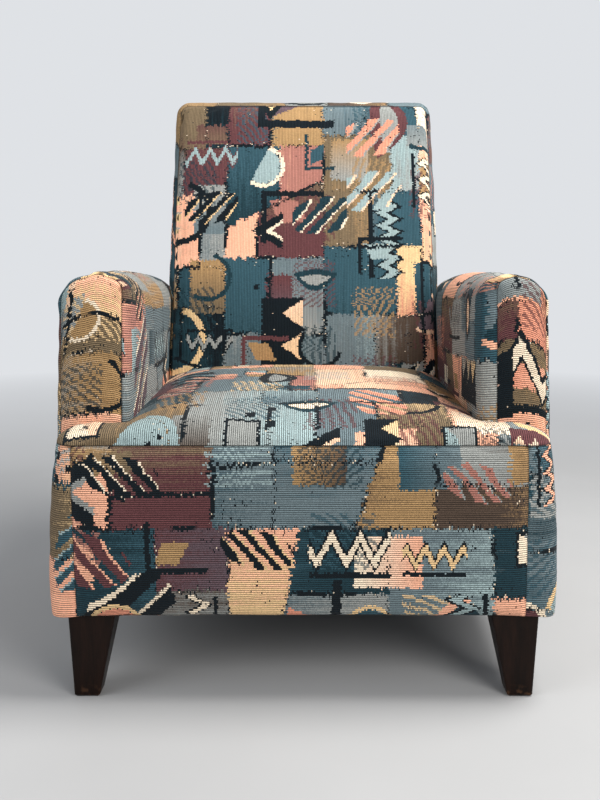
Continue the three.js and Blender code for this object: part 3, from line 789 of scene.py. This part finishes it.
def leg_material():
    """Dark stained wood in a satin lacquer, scuffed a little near the floor."""
    s = Sheet("dark_leg_wood")
    place = s.place((1, 1, 0.09))
    lines = s.noise(place, 60.0, 5.0, 0.6)
    pores = s.ramp(s.noise(place, 420.0, 2.0), 0.40, 0.60)
    z = s.split(s.place())[2]
    scuff = s.ramp(s.noise(s.place(), 120.0, 3.0), 0.52, 0.66) * s.ramp(z, 0.004, 0.020, 1.0, 0.0)
    colour = s.mix(s.ramp(lines, 0.32, 0.70), rgb(15, 7, 4), rgb(33, 18, 11))
    colour = s.mix(scuff * 0.6, s.tone(colour, pores * 0.25 + 0.75), rgb(84, 58, 40))
    wear_and_highlight = s.noise(s.place(), 26.0, 3.0)
    s.paint(Base_Color=colour, Roughness=s.ramp(wear_and_highlight, 0.3, 0.7, 0.34, 0.46) + scuff * 0.3)
    s.paint(Specular_IOR_Level=0.12, Coat_Weight=0.02, Coat_Roughness=0.25)
    s.bump(lines + pores * 0.3, 0.0002, 0.4)
    return s.material


def metal_material(name, colour, rough):
    s = Sheet(name)
    spots = s.noise(s.place(), 160.0, 3.0)
    s.paint(Base_Color=s.tone(colour, s.ramp(spots, 0.35, 0.7, 1.0, 0.7)), Metallic=1.0)
    s.paint(Roughness=s.ramp(spots, 0.3, 0.7, rough, rough + 0.2))
    return s.material


def cloth_material(name, colour, pitch, depth, mottled):
    """A plain coarse cloth, woven over and under."""
    s = Sheet(name)
    x, y, z = s.split(s.place())
    weave = (x * (2 * math.pi / pitch)).sine() * ((y + z) * (2 * math.pi / pitch)).sine()
    spots = s.noise(s.place(), 60.0, 4.0)
    tone = s.ramp(weave, -1, 1, 1 - mottled, 1) + s.ramp(spots, 0.3, 0.7, -mottled, mottled)
    s.paint(Base_Color=s.tone(colour, tone), Roughness=s.ramp(weave, -1, 1, 0.96, 0.86))
    s.bump(weave, depth, 0.6)
    return s.material


# Painted shade in the ribs' gaps: deep where the ribs lie across the light, and shallow on the back,
# where they run up. The two materials are one cloth, shaded two ways.
GAP_SHADE_ACROSS = (0.28, 0.82, 0.20)
GAP_SHADE_UP = (0.05, 0.75, 0.70)
tapestry = tapestry_material("tapestry", GAP_SHADE_ACROSS)
tapestry_upright_shallow_shade = tapestry_material("tapestry_upright_shallow_shade", GAP_SHADE_UP)
dust_cloth = cloth_material("black_dust_cloth", rgb(34, 34, 36), 0.002, 0.0002, 0.12)
FINISHES = {
    "woven_tapestry": tapestry,
    "dark_leg_wood": leg_material(),
    "frame_timber": wood_material(
        "frame_timber", rgb(150, 116, 78), rgb(196, 160, 114), grain=14.0, rough=0.7, run=(0.09, 1, 1)
    ),
    "bolt_steel": metal_material("bolt_steel", rgb(168, 170, 174), 0.32),
    "spring_steel": metal_material("spring_steel", rgb(84, 84, 86), 0.4),
    "jute": cloth_material("jute", rgb(162, 138, 100), 0.003, 0.0006, 0.22),
    "black_dust_cloth": dust_cloth,
    "padding_foam": cloth_material("padding_foam", rgb(214, 200, 146), 0.004, 0.0004, 0.08),
}
for entry in frame["record"]["subparts"]:
    node = nodes[entry["node"]]
    node.data.materials.clear()
    node.data.materials.append(FINISHES[entry["material_slot"]])


# The back: a front panel, one boxing strip round both sides and the top, and an outside back panel
BACK_LOW = 0.385
BACK_EDGE = 0.005
BACK_CROWN = 0.009
CROWN_LOW = 0.40
STRIP_ROLL = 0.020
HEM_LIFT = 0.002
STRIP_PARTS = np.unique(np.append(spaced(0, 1, 0.07), [0.012, 0.03, 0.06, 0.10, 0.90, 0.94, 0.97, 0.988]))
FACE_ACROSS = np.unique(np.append(spaced(-1, 1, 0.04), [-0.995, -0.985, -0.968, 0.968, 0.985, 0.995]))
FACE_UP = np.unique(np.append(spaced(0, 1, 0.0175), [0.978, 0.991, 0.997]))


def back_outline(inset, low):
    """Points in the XZ plane from the left foot over the top to the right foot."""
    corner = BACK_CORNER - inset
    top = TOP_Z - inset
    zs = spaced(low, top - corner)
    left = np.stack([inset - back_half(zs), zs], 1)
    turn = np.linspace(0, math.pi / 2, 6)[1:]
    edge = back_half(TOP_Z - BACK_CORNER) - inset
    bend = np.stack([-edge + corner * (1 - np.cos(turn)), top - corner * (1 - np.sin(turn))], 1)
    xs = spaced(-edge + corner, 0)[1:]
    path = np.concatenate([left, bend, np.stack([xs, np.full(len(xs), top)], 1)])
    return np.concatenate([path, path[-2::-1] * (-1, 1)])


def back_strip(low):
    """The boxing strip: rows along the outline, columns from the front seam to the rear seam."""
    outer, inner = back_outline(0, low), back_outline(BACK_SINK, low)
    y0 = back_front(inner[:, 1]) + BACK_EDGE
    y1 = back_rear(np.minimum(outer[:, 1], TOP_Z - 0.004)) - BACK_EDGE
    strip = np.empty((len(outer), len(STRIP_PARTS), 3))
    for j, part in enumerate(STRIP_PARTS):
        deep = part * (y1 - y0)
        fall = np.maximum(roll(deep, STRIP_ROLL), roll((1 - part) * (y1 - y0), STRIP_ROLL))[:, None]
        xz = outer * (1 - fall) + inner * fall
        strip[:, j] = np.stack([xz[:, 0], y0 + deep, xz[:, 1]], 1)
    return strip


def back_face(front, low):
    """A face of the back: columns across, rows upwards, inside the seam's outline."""
    corner = BACK_CORNER - BACK_SINK
    top_z = TOP_Z - BACK_SINK
    edge = back_half(TOP_Z) - BACK_SINK
    grid = np.empty((len(FACE_UP), len(FACE_ACROSS), 3))
    for j, a in enumerate(FACE_ACROSS):
        over = max(0.0, abs(a) * edge - (edge - corner))
        top = top_z - (corner - math.sqrt(max(0.0, corner**2 - over**2)))
        z = low + FACE_UP * (top - low)
        half = back_half(z) - BACK_SINK
        x = a * half
        gap_top = top_z - z
        if over > 0:
            in_corner = z > top_z - corner
            gap_top = np.where(in_corner, corner - np.hypot(over, z - (top_z - corner)), gap_top)
        fall = np.maximum(roll(half - np.abs(x)), roll(gap_top))
        if front:
            share = clipped((z - CROWN_LOW) / (TOP_Z - CROWN_LOW))
            crown = (1 - a * a) * np.sqrt(clipped(np.sin(np.pi * share)))
            y = back_front(z) + BACK_EDGE * fall - BACK_CROWN * crown
        else:
            y = back_rear(z) - BACK_EDGE * np.maximum(fall, roll(z - low))
        grid[:, j] = np.stack([x, y, z], 1)
    return grid


def make_back():
    centre = (0, 0.24, 0.68)
    strip, face = back_strip(BACK_LOW), back_face(True, BACK_LOW)
    rear = back_face(False, LOW_Z + HEM_LIFT)
    panels = [
        Panel(strip, flat_of(strip, (2.32, 0.75), True), centre, (0, 0, 1, 1)),
        Panel(face, flat_of(face, (0.48, 3.16), True), centre, (0, 1, 1, 1)),
    ]
    sew("back_upholstery", panels, ["back_cover", "back_foam"], cloth=tapestry_upright_shallow_shade)
    outside = Panel(rear, flat_of(rear, (2.05, 0.12), True), (0, 0.1, 0.6))
    sew("outside_back_panel", [outside], ["outside_back"], swell=0.0015, slack=0.004, dent=0.0010)


# The arms: one strip over the inside, the top and the outside, and a panel at each end. The top's inner
# edge gets rounder over a reach from the front, and the top swells and falls towards the rear.
ARM_LOW = 0.335
ARM_INNER_ROWS = 24
ARM_OUTER_ROWS = 44
ARM_PITCH = 0.0115
ARM_ROLL = 0.014
INNER_ROUND = 0.026
INNER_GROWTH = 0.032
GROWTH_REACH = 0.26
LEAST_ROUND = 0.004
OUTER_ROUND = 0.046
ARM_PUFF = 0.17
ARM_FALL = 0.029
WRAP_SETBACK = 0.004
REAR_HEM_LIFT = 0.003

# An end panel's points, how far it stands proud inside and sinks at its edges, and over what reach
END_ACROSS = np.unique(np.append(np.linspace(0, 1, 13), [0.015, 0.04, 0.96, 0.985]))
END_UP = np.unique(np.append(np.linspace(0, 1, 40), [0.985, 0.995]))
END_PROUD = 0.002
END_REACH = 0.04
END_SINK = 0.0045
END_ROLL = 0.012


def arm_outline(y, rise, inset, inner_inset):
    """Points from the inner foot over the top to the outer foot, with X from the arm's inner face.

    rise is how far the padding stands up at the front. inset and inner_inset are how far the outline
    lies inside the arm's skin, everywhere and on its inner side.
    """
    share = (y - ARM_FRONT) / (ARM_REAR - ARM_FRONT)
    grown = clipped((y - ARM_FRONT) / GROWTH_REACH)
    inner = max(INNER_ROUND + INNER_GROWTH * grown - inset, LEAST_ROUND)
    outer = OUTER_ROUND - inset
    x0, x1 = inner_inset, ARM_WIDTH - inset
    flat = x1 - outer - x0 - inner
    puff = ARM_PUFF * flat
    top = ARM_TOP + rise - rise * share - ARM_FALL * share**3 - inset - puff
    turn = np.linspace(0, math.pi / 2, 8)[1:]
    t = np.linspace(0, 1, 7)[1:]
    rising = np.linspace(ARM_LOW, top - inner, ARM_INNER_ROWS)
    falling = np.linspace(top - outer, LOW_Z + HEM_LIFT, ARM_OUTER_ROWS)
    side_in = np.stack([np.full(ARM_INNER_ROWS, x0), rising], 1)
    bend_in = np.stack([x0 + inner * (1 - np.cos(turn)), top - inner * (1 - np.sin(turn))], 1)
    crown = np.stack([x0 + inner + flat * t, top + 4 * puff * t * (1 - t)], 1)
    bend_out = np.stack([x1 - outer * (1 - np.sin(turn)), top - outer * (1 - np.cos(turn))], 1)
    side_out = np.stack([np.full(ARM_OUTER_ROWS, x1), falling], 1)[1:]
    return np.concatenate([side_in, bend_in, crown, bend_out, side_out])


def arm_end(sign, y, rise, out, seam_inner, low):
    """The panel at one end of an arm, just behind its seam's plane at the edges and proud of it inside."""
    outline = arm_outline(y, rise, SINK, seam_inner)
    x0, x1 = outline[:, 0].min(), outline[:, 0].max()
    ridge = outline[ARM_INNER_ROWS : 2 - ARM_OUTER_ROWS]
    grid = np.empty((len(END_UP), len(END_ACROSS), 3))
    for j, a in enumerate(END_ACROSS):
        x = x0 + a * (x1 - x0)
        top = np.interp(x, ridge[:, 0], ridge[:, 1])
        z = low + END_UP * (top - low)
        away = np.minimum(np.minimum(x - x0, x1 - x), top - z)
        proud = END_PROUD * clipped(away / END_REACH) - END_SINK * roll(away, END_ROLL)
        grid[:, j] = np.stack([np.full_like(z, sign * (INNER_X + x)), y + out * proud, z], 1)
    return grid


def make_arm(name, sign, seam_in, rise, origins):
    """seam_in is how far the front panel's inner seam stands from the arm's inner face.

    origins are the cloth's places for the strip, the front panel and the rear panel.
    """
    ys = spaced(ARM_FRONT, ARM_REAR, ARM_PITCH, SEAM_STEPS)
    rows = []
    for y in ys:
        near = float(np.maximum(roll(y - ARM_FRONT, ARM_ROLL), roll(ARM_REAR - y, ARM_ROLL)))
        tucked = arm_outline(y, rise, SINK, seam_in if y < 0 else SINK)
        xz = arm_outline(y, rise, 0.0, 0.0) * (1 - near) + tucked * near
        rows.append(np.stack([sign * (INNER_X + xz[:, 0]), np.full(len(xz), y), xz[:, 1]], 1))
    wrap = np.array(rows)
    wrap[0, :, 1] += WRAP_SETBACK
    wrap[-1, :, 1] -= WRAP_SETBACK
    front = arm_end(sign, ARM_FRONT, rise, -1, seam_in, ARM_LOW)
    rear = arm_end(sign, ARM_REAR, rise, 1, SINK, LOW_Z + REAR_HEM_LIFT)
    centre = (sign * (INNER_X + ARM_WIDTH / 2), 0, 0.37)
    panels = [
        Panel(wrap, flat_of(wrap, origins[0], True), centre, (1, 1, 0, 0)),
        Panel(front, flat_of(front, origins[1]), centre, (0, 1, 1, 1)),
        Panel(rear, flat_of(rear, origins[2]), centre, (1, 1, 1, 1)),
    ]
    side = "left" if sign < 0 else "right"
    sew(name, panels, ["arm_cover_" + side, "arm_padding_" + side])


# The front band: a front panel and two side panels that meet it in a seam on each rounded corner
BAND_SWELL = 0.0045
HEM_SHARE = 0.2
EASE_START = 0.310
EASE_REACH = 0.045
CORNER_STEPS = 13
SIDE_COLUMNS = 13
FRONT_COLUMNS = 40
BAND_STEPS = np.array([0.0, 0.002, 0.005, 0.010, 0.016])
BAND_ROOM = 0.026
HEM_TURN = 0.009
HEM_SINK = 0.55
HEM_ROLL = 0.012
CORNER_SINK = 0.0035
CORNER_ROLL = 0.010
# Where each corner seam stands at the hem, and how much farther out at the top
LEFT_SEAM = (0.335, 0.010)
RIGHT_SEAM = (0.328, 0.005)


def band_swell(z):
    """How far the band swells at a height, from 0 at its top seam to 1. Its hem stays a little wider."""
    share = (z - LOW_Z) / (SEAM_Z - LOW_Z)
    arch = clipped(np.sin(np.pi * share))
    return np.where(share < 0.5, HEM_SHARE + (1 - HEM_SHARE) * arch**0.45, arch**0.65)


def sunk(grid, depth):
    """Sinks a seam towards the seat's middle, by less at the ears' ends."""
    core = np.stack([
        np.clip(grid[..., 0], CORNER - SEAT_HALF, SEAT_HALF - CORNER),
        np.maximum(grid[..., 1], FRONT_Y + CORNER),
    ], -1)
    ease = 1 - clipped((np.abs(grid[..., 0]) - EASE_START) / EASE_REACH)
    moved = grid.copy()
    moved[..., :2] += unit(core - grid[..., :2]) * (depth * ease)[..., None]
    return moved


def band_path(z, seam_x, part):
    """Plan points of the left half at one height: part 0 is the side, 1 the front as far as the middle."""
    half = SEAT_HALF + BAND_SWELL * band_swell(z)
    front = FRONT_Y - BAND_SWELL * band_swell(z)
    corner = HEM_CORNER + (CORNER - HEM_CORNER) * (z - LOW_Z) / (SEAM_Z - LOW_Z)
    turn = np.linspace(0, math.pi / 2, CORNER_STEPS)
    bend = np.stack([-half + corner * (1 - np.cos(turn)), front + corner * (1 - np.sin(turn))], 1)
    path = np.concatenate([[(-half, ARM_FRONT - 0.0004)], bend, [(0, front)]])
    far = along(path)
    seam = np.interp(-seam_x, path[1:, 0], far[1:])
    side, rest = np.linspace(0, seam, SIDE_COLUMNS), np.linspace(seam, far[-1], FRONT_COLUMNS)
    steps = rest if part else side
    return np.stack([np.interp(steps, far, path[:, k]) for k in (0, 1)], 1)


def make_band():
    middle_zs = spaced(LOW_Z + BAND_ROOM, SEAM_Z - BAND_ROOM)
    zs = np.concatenate([LOW_Z + BAND_STEPS, middle_zs, SEAM_Z - BAND_STEPS[::-1]])
    grids = {"left": [], "front": [], "right": []}
    for z in zs:
        share = (z - LOW_Z) / (SEAM_Z - LOW_Z)
        left_x, right_x = (hem + more * share for hem, more in (LEFT_SEAM, RIGHT_SEAM))
        plans = {
            "left": band_path(z, left_x, 0),
            "right": band_path(z, right_x, 0) * (-1, 1),
            "front": np.concatenate([
                band_path(z, left_x, 1),
                band_path(z, right_x, 1)[-2::-1] * (-1, 1),
            ]),
        }
        for key, plan in plans.items():
            grids[key].append(np.concatenate([plan, np.full((len(plan), 1), z)], 1))
    origins = {"left": (3.80, 0.53), "front": (0.81, 1.99), "right": (-0.32, 1.31)}
    panels = []
    for key, rows in grids.items():
        grid = np.array(rows)
        grid = sunk(grid, SINK * roll(SEAM_Z - grid[..., 2]))
        grid = sunk(grid, HEM_SINK * SINK * roll(grid[..., 2] - LOW_Z, HEM_ROLL))
        # The corner seams' edges sink too
        middle = np.array((0, -0.1, 0))
        gap = Panel.distance(grid, (0, 0, key == "front", 1))
        inward = unit((middle - grid) * (1, 1, 0))
        grid = grid + inward * (CORNER_SINK * roll(gap, CORNER_ROLL))[..., None]
        # The hem turns under the chair
        hem = grid[:1].copy()
        under = hem + unit((middle - hem) * (1, 1, 0)) * HEM_TURN
        under[..., 2] = LOW_Z + 0.0004
        grid = np.concatenate([under, grid])
        sewn = (0, 1, key == "front", 1)
        panels.append(Panel(grid, flat_of(grid, origins[key]), (0, 0.3, 0.25), sewn))
    sew("front_band", panels, ["front_band_cover", "front_band_padding"])


# The seat: one T-shaped panel, rolled over the front edge and the ears' ends down to the band's seam
RISE_START = -0.373
RISE_REACH = 0.205
REAR_FALL = 0.4
EAR_DROOP = 0.004
EAR_END = ARM_FRONT - 0.0045
EAR_DROPS = (0.004, 0.022, 0.046)
EAR_SHARES = np.array([0.10, 0.22, 0.34, 0.46, 0.58, 0.68, 0.77, 0.85, 0.91, 0.955, 0.985, 1.0])
SEAT_ROLL = 0.015
TUCK_REACH = 0.012
TUCK_DEPTH = 0.010
SEAT_ORIGIN = (3.32, 0.38)


def seat_height(x, y):
    across = 1 - np.minimum(1, np.abs(x) / INNER_X) ** 4
    rise = np.sin(math.pi / 2 * clipped((y - RISE_START) / RISE_REACH)) ** 0.8
    fall = 1 - REAR_FALL * np.maximum(0, y / 0.4)
    droop = EAR_DROOP * np.maximum(0, np.abs(x) - INNER_X) / ARM_WIDTH
    return SEAT_EDGE + SEAT_CROWN * across * rise * fall - droop


def make_seat():
    turn = np.concatenate([[0, 0.03, 0.08, 0.15, 0.24], np.linspace(0.36, math.pi / 2, 9)])
    nose_y = FRONT_Y + NOSE * (1 - np.cos(turn))
    ear_y = spaced(FRONT_Y + NOSE + 0.006, EAR_END, 0.006)
    drop_y = EAR_END + np.array([0.008, 0.018, 0.028])
    rest_y = spaced(EAR_END + 0.038, back_front(SEAT_EDGE + 0.02) + 0.004)
    ys = np.concatenate([nose_y, ear_y, drop_y, rest_y])
    wide_rows = len(nose_y) + len(ear_y)
    inner_x = spaced(-INNER_X + 0.0008, INNER_X - 0.0008, PITCH, (0.003, 0.008))

    rows = []
    for i, y in enumerate(ys):
        wide = i < wide_rows
        from_front = y - FRONT_Y
        bite = CORNER - math.sqrt(max(0.0, CORNER**2 - max(0.0, CORNER - from_front) ** 2))
        half = SEAT_HALF - bite
        ear_x = INNER_X + (half - INNER_X) * EAR_SHARES
        x = np.concatenate([-ear_x[::-1], inner_x, ear_x])
        flat = seat_height(x, y)
        lift = math.sqrt(max(0.0, 1 - max(0.0, 1 - from_front / NOSE) ** 2))
        end = clipped((np.abs(x) - (half - EAR)) / EAR)
        z = SEAM_Z + (flat - SEAM_Z) * np.sqrt(1 - end**2) * lift
        row_y = np.full(len(x), y)
        if not wide:
            # Between the arms the cloth runs back, with its sides tucked down. Beside them the ears drop.
            tuck = clipped((np.abs(x) - (INNER_X - TUCK_REACH)) / TUCK_REACH)
            z = flat - TUCK_DEPTH * (1 - np.sqrt(1 - tuck**2))
            k = min(i - wide_rows, len(EAR_DROPS) - 1)
            out = np.abs(x) > INNER_X
            ear_z = SEAM_Z + (seat_height(x, EAR_END) - SEAM_Z) * np.sqrt(1 - end**2)
            z = np.where(out, np.maximum(ear_z - EAR_DROPS[k], SEAM_Z - 0.006), z)
            row_y = np.where(out, EAR_END + 0.0016 + 0.0006 * k, row_y)
        rows.append(np.stack([x, row_y, z], 1))
    grid = np.array(rows)
    depth = SINK * roll(grid[..., 2] - SEAM_Z, SEAT_ROLL)
    depth[wide_rows:] = 0
    grid = sunk(grid, depth)
    # The rear end tucks down behind the back's foot
    last = grid[-1:] + (0, 0.004, -0.03)
    grid = np.concatenate([grid, last])

    cols = grid.shape[1]
    ears = len(EAR_SHARES)
    gaps = np.zeros((grid.shape[0] - 1, cols - 1), bool)
    gaps[wide_rows - 1 :, ears - 1] = True
    gaps[wide_rows - 1 :, cols - 1 - ears] = True
    gaps[wide_rows + 2 :, :ears] = True
    gaps[wide_rows + 2 :, cols - 1 - ears :] = True
    # How far each point is from a seam or a tuck
    v = along(grid[:, cols // 2])
    side = np.where(np.arange(len(grid))[:, None] < wide_rows, FAR, INNER_X - np.abs(grid[..., 0]))
    round_seam = np.abs(grid[..., 2] - SEAM_Z) * 1.3
    edge = np.minimum(np.broadcast_to(v[:, None], side.shape), np.abs(side))
    near_end = np.hypot(round_seam, np.maximum(0, SEAT_HALF - np.abs(grid[..., 0]) - EAR))
    edge = np.minimum(edge, near_end)
    edge = np.minimum(edge, (v[-1] - v)[:, None])
    flat_grid = np.stack([np.broadcast_to(v[:, None], side.shape), grid[..., 0]], -1) + SEAT_ORIGIN
    panel = Panel(grid, flat_grid, (0, -0.1, 0.10), (1, 0, 0, 0), gaps, edge)
    sew("seat_upholstery", [panel], ["seat_cover", "seat_foam"], swell=0.005, dent=0.0026)


# The dust cover: thin black cloth stapled under the frame, slack between its edges
def make_dust_cover():
    half, front, rear, chamfer, pitch = 0.360, -0.385, 0.324, 0.016, 0.018
    x, y = np.meshgrid(spaced(-half, half, pitch), spaced(front, rear, pitch))
    cut = np.maximum(0, front + chamfer - y)
    x = np.clip(x, cut - half, half - cut)
    middle, reach = (front + rear) / 2, (rear - front) / 2
    slack = (1 - (x / half) ** 2) * (1 - ((y - middle) / reach) ** 2)
    creases = wobble(np.stack([x, y * 0.4, x * 0], -1).reshape(-1, 3), 0.06, 4).reshape(x.shape)
    z = LOW_Z + 0.0012 - 0.0032 * slack + 0.0008 * creases * np.minimum(1, slack * 3)
    grid = np.stack([x, y, z], -1)
    panel = Panel(grid, flat_of(grid), (0, 0, 1), (0, 0, 0, 0))
    obj, _ = panel_object("dust_cover_cloth", panel)
    obj.data.materials.append(dust_cloth)
    subdivide(obj)
    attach(obj, ROOT)
    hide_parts("dust_cover")


make_back()
make_arm("left_arm", -1, seam_in=0.007, rise=0.010, origins=((1.55, 2.80), (-0.15, -0.02), (2.40, 0.20)))
make_arm("right_arm", 1, seam_in=0.025, rise=0.007, origins=((1.59, 1.28), (1.78, 3.56), (2.90, 0.40)))
make_band()
make_seat()
make_dust_cover()


# Floor, light and camera
BACKDROP = (0.74, 0.76, 0.79, 1)
WORLD_LIGHT = 0.34
WORLD_COLOUR = (0.90, 0.94, 1.0, 1)
FLOOR_HALF = 30
FLOOR_COLOUR = (0.43, 0.43, 0.43, 1)
FLOOR_FADE = (1.3, 3.4)
PHOTO_HEIGHT = 800


def rays_that_show(tree):
    """1 for camera, glossy and transmission rays, which show the background, and 0 for the rest."""
    path = tree.nodes.new("ShaderNodeLightPath")
    shown = path.outputs["Is Camera Ray"]
    for kind in ("Is Glossy Ray", "Is Transmission Ray"):
        most = tree.nodes.new("ShaderNodeMath")
        most.operation = "MAXIMUM"
        tree.links.new(shown, most.inputs[0])
        tree.links.new(path.outputs[kind], most.inputs[1])
        shown = most.outputs[0]
    return shown


def make_floor():
    mesh = bpy.data.meshes.new("floor")
    corners = [(x * FLOOR_HALF, y * FLOOR_HALF, 0) for x, y in ((-1, -1), (1, -1), (1, 1), (-1, 1))]
    mesh.from_pydata(corners, [], [(0, 1, 2, 3)])
    floor = placed("floor", mesh)
    s = Sheet("pale_floor")
    spots = s.noise(s.place(), 3.0, 3.0)
    # The lamps don't reach the far floor, so it fades into the backdrop
    x, y, _ = s.split(s.place())
    far = s.ramp((x * x + y * y).root(), *FLOOR_FADE) * Value(s, rays_that_show(s.tree))
    near = s.tone(FLOOR_COLOUR, s.ramp(spots, 0.3, 0.7, 0.98, 1.02) * (1 - far))
    s.paint(Base_Color=near, Roughness=0.9, Specular_IOR_Level=0.0)
    s.paint(Emission_Color=BACKDROP, Emission_Strength=far)
    mesh.materials.append(s.material)


def make_world():
    """A pale backdrop for the camera, over a dimmer light for the chair."""
    world = bpy.data.worlds.new("studio")
    bpy.context.scene.world = world
    world.use_nodes = True
    tree = world.node_tree
    light = tree.nodes["Background"]
    light.inputs[0].default_value = WORLD_COLOUR
    light.inputs[1].default_value = WORLD_LIGHT
    seen = tree.nodes.new("ShaderNodeBackground")
    seen.inputs[0].default_value = BACKDROP
    mix = tree.nodes.new("ShaderNodeMixShader")
    tree.links.new(rays_that_show(tree), mix.inputs[0])
    tree.links.new(light.outputs[0], mix.inputs[1])
    tree.links.new(seen.outputs[0], mix.inputs[2])
    tree.links.new(mix.outputs[0], tree.nodes["World Output"].inputs[0])


def make_lamp(name, place, aim, size, power, colour):
    data = bpy.data.lights.new(name, "AREA")
    data.shape = "DISK"
    data.size = size
    data.energy = power
    data.color = colour
    lamp = placed(name, data)
    lamp.location = place
    lamp.rotation_euler = (Vector(aim) - Vector(place)).to_track_quat("-Z", "Y").to_euler()


def make_camera():
    """Level at the height of the arms' tops, with the frame shifted down as in the photograph."""
    data = bpy.data.cameras.new("camera")
    data.sensor_width = 36
    data.lens = 45
    data.shift_x = -3.5 / PHOTO_HEIGHT
    data.shift_y = -165 / PHOTO_HEIGHT
    data.clip_end = 60
    camera = placed("camera", data)
    camera.location = (0, -1.86, 0.685)
    camera.rotation_euler = (math.pi / 2, 0, 0)
    bpy.context.scene.camera = camera
    bpy.context.scene.view_settings.view_transform = "Standard"


make_floor()
make_world()
make_lamp("top", (1.2, -0.3, 2.6), (0, -0.05, 0.45), 1.4, 86, (1.0, 0.99, 0.97))
make_lamp("key", (1.4, -2.3, 1.5), (0, 0, 0.45), 1.4, 45, (1.0, 0.98, 0.96))
make_lamp("fill", (-2.2, -1.6, 1.3), (0, 0, 0.45), 2.0, 30, (0.95, 0.97, 1.0))
make_lamp("rear", (-0.8, 2.4, 1.7), (0, 0, 0.45), 2.0, 18, (0.95, 0.97, 1.0))
make_camera()
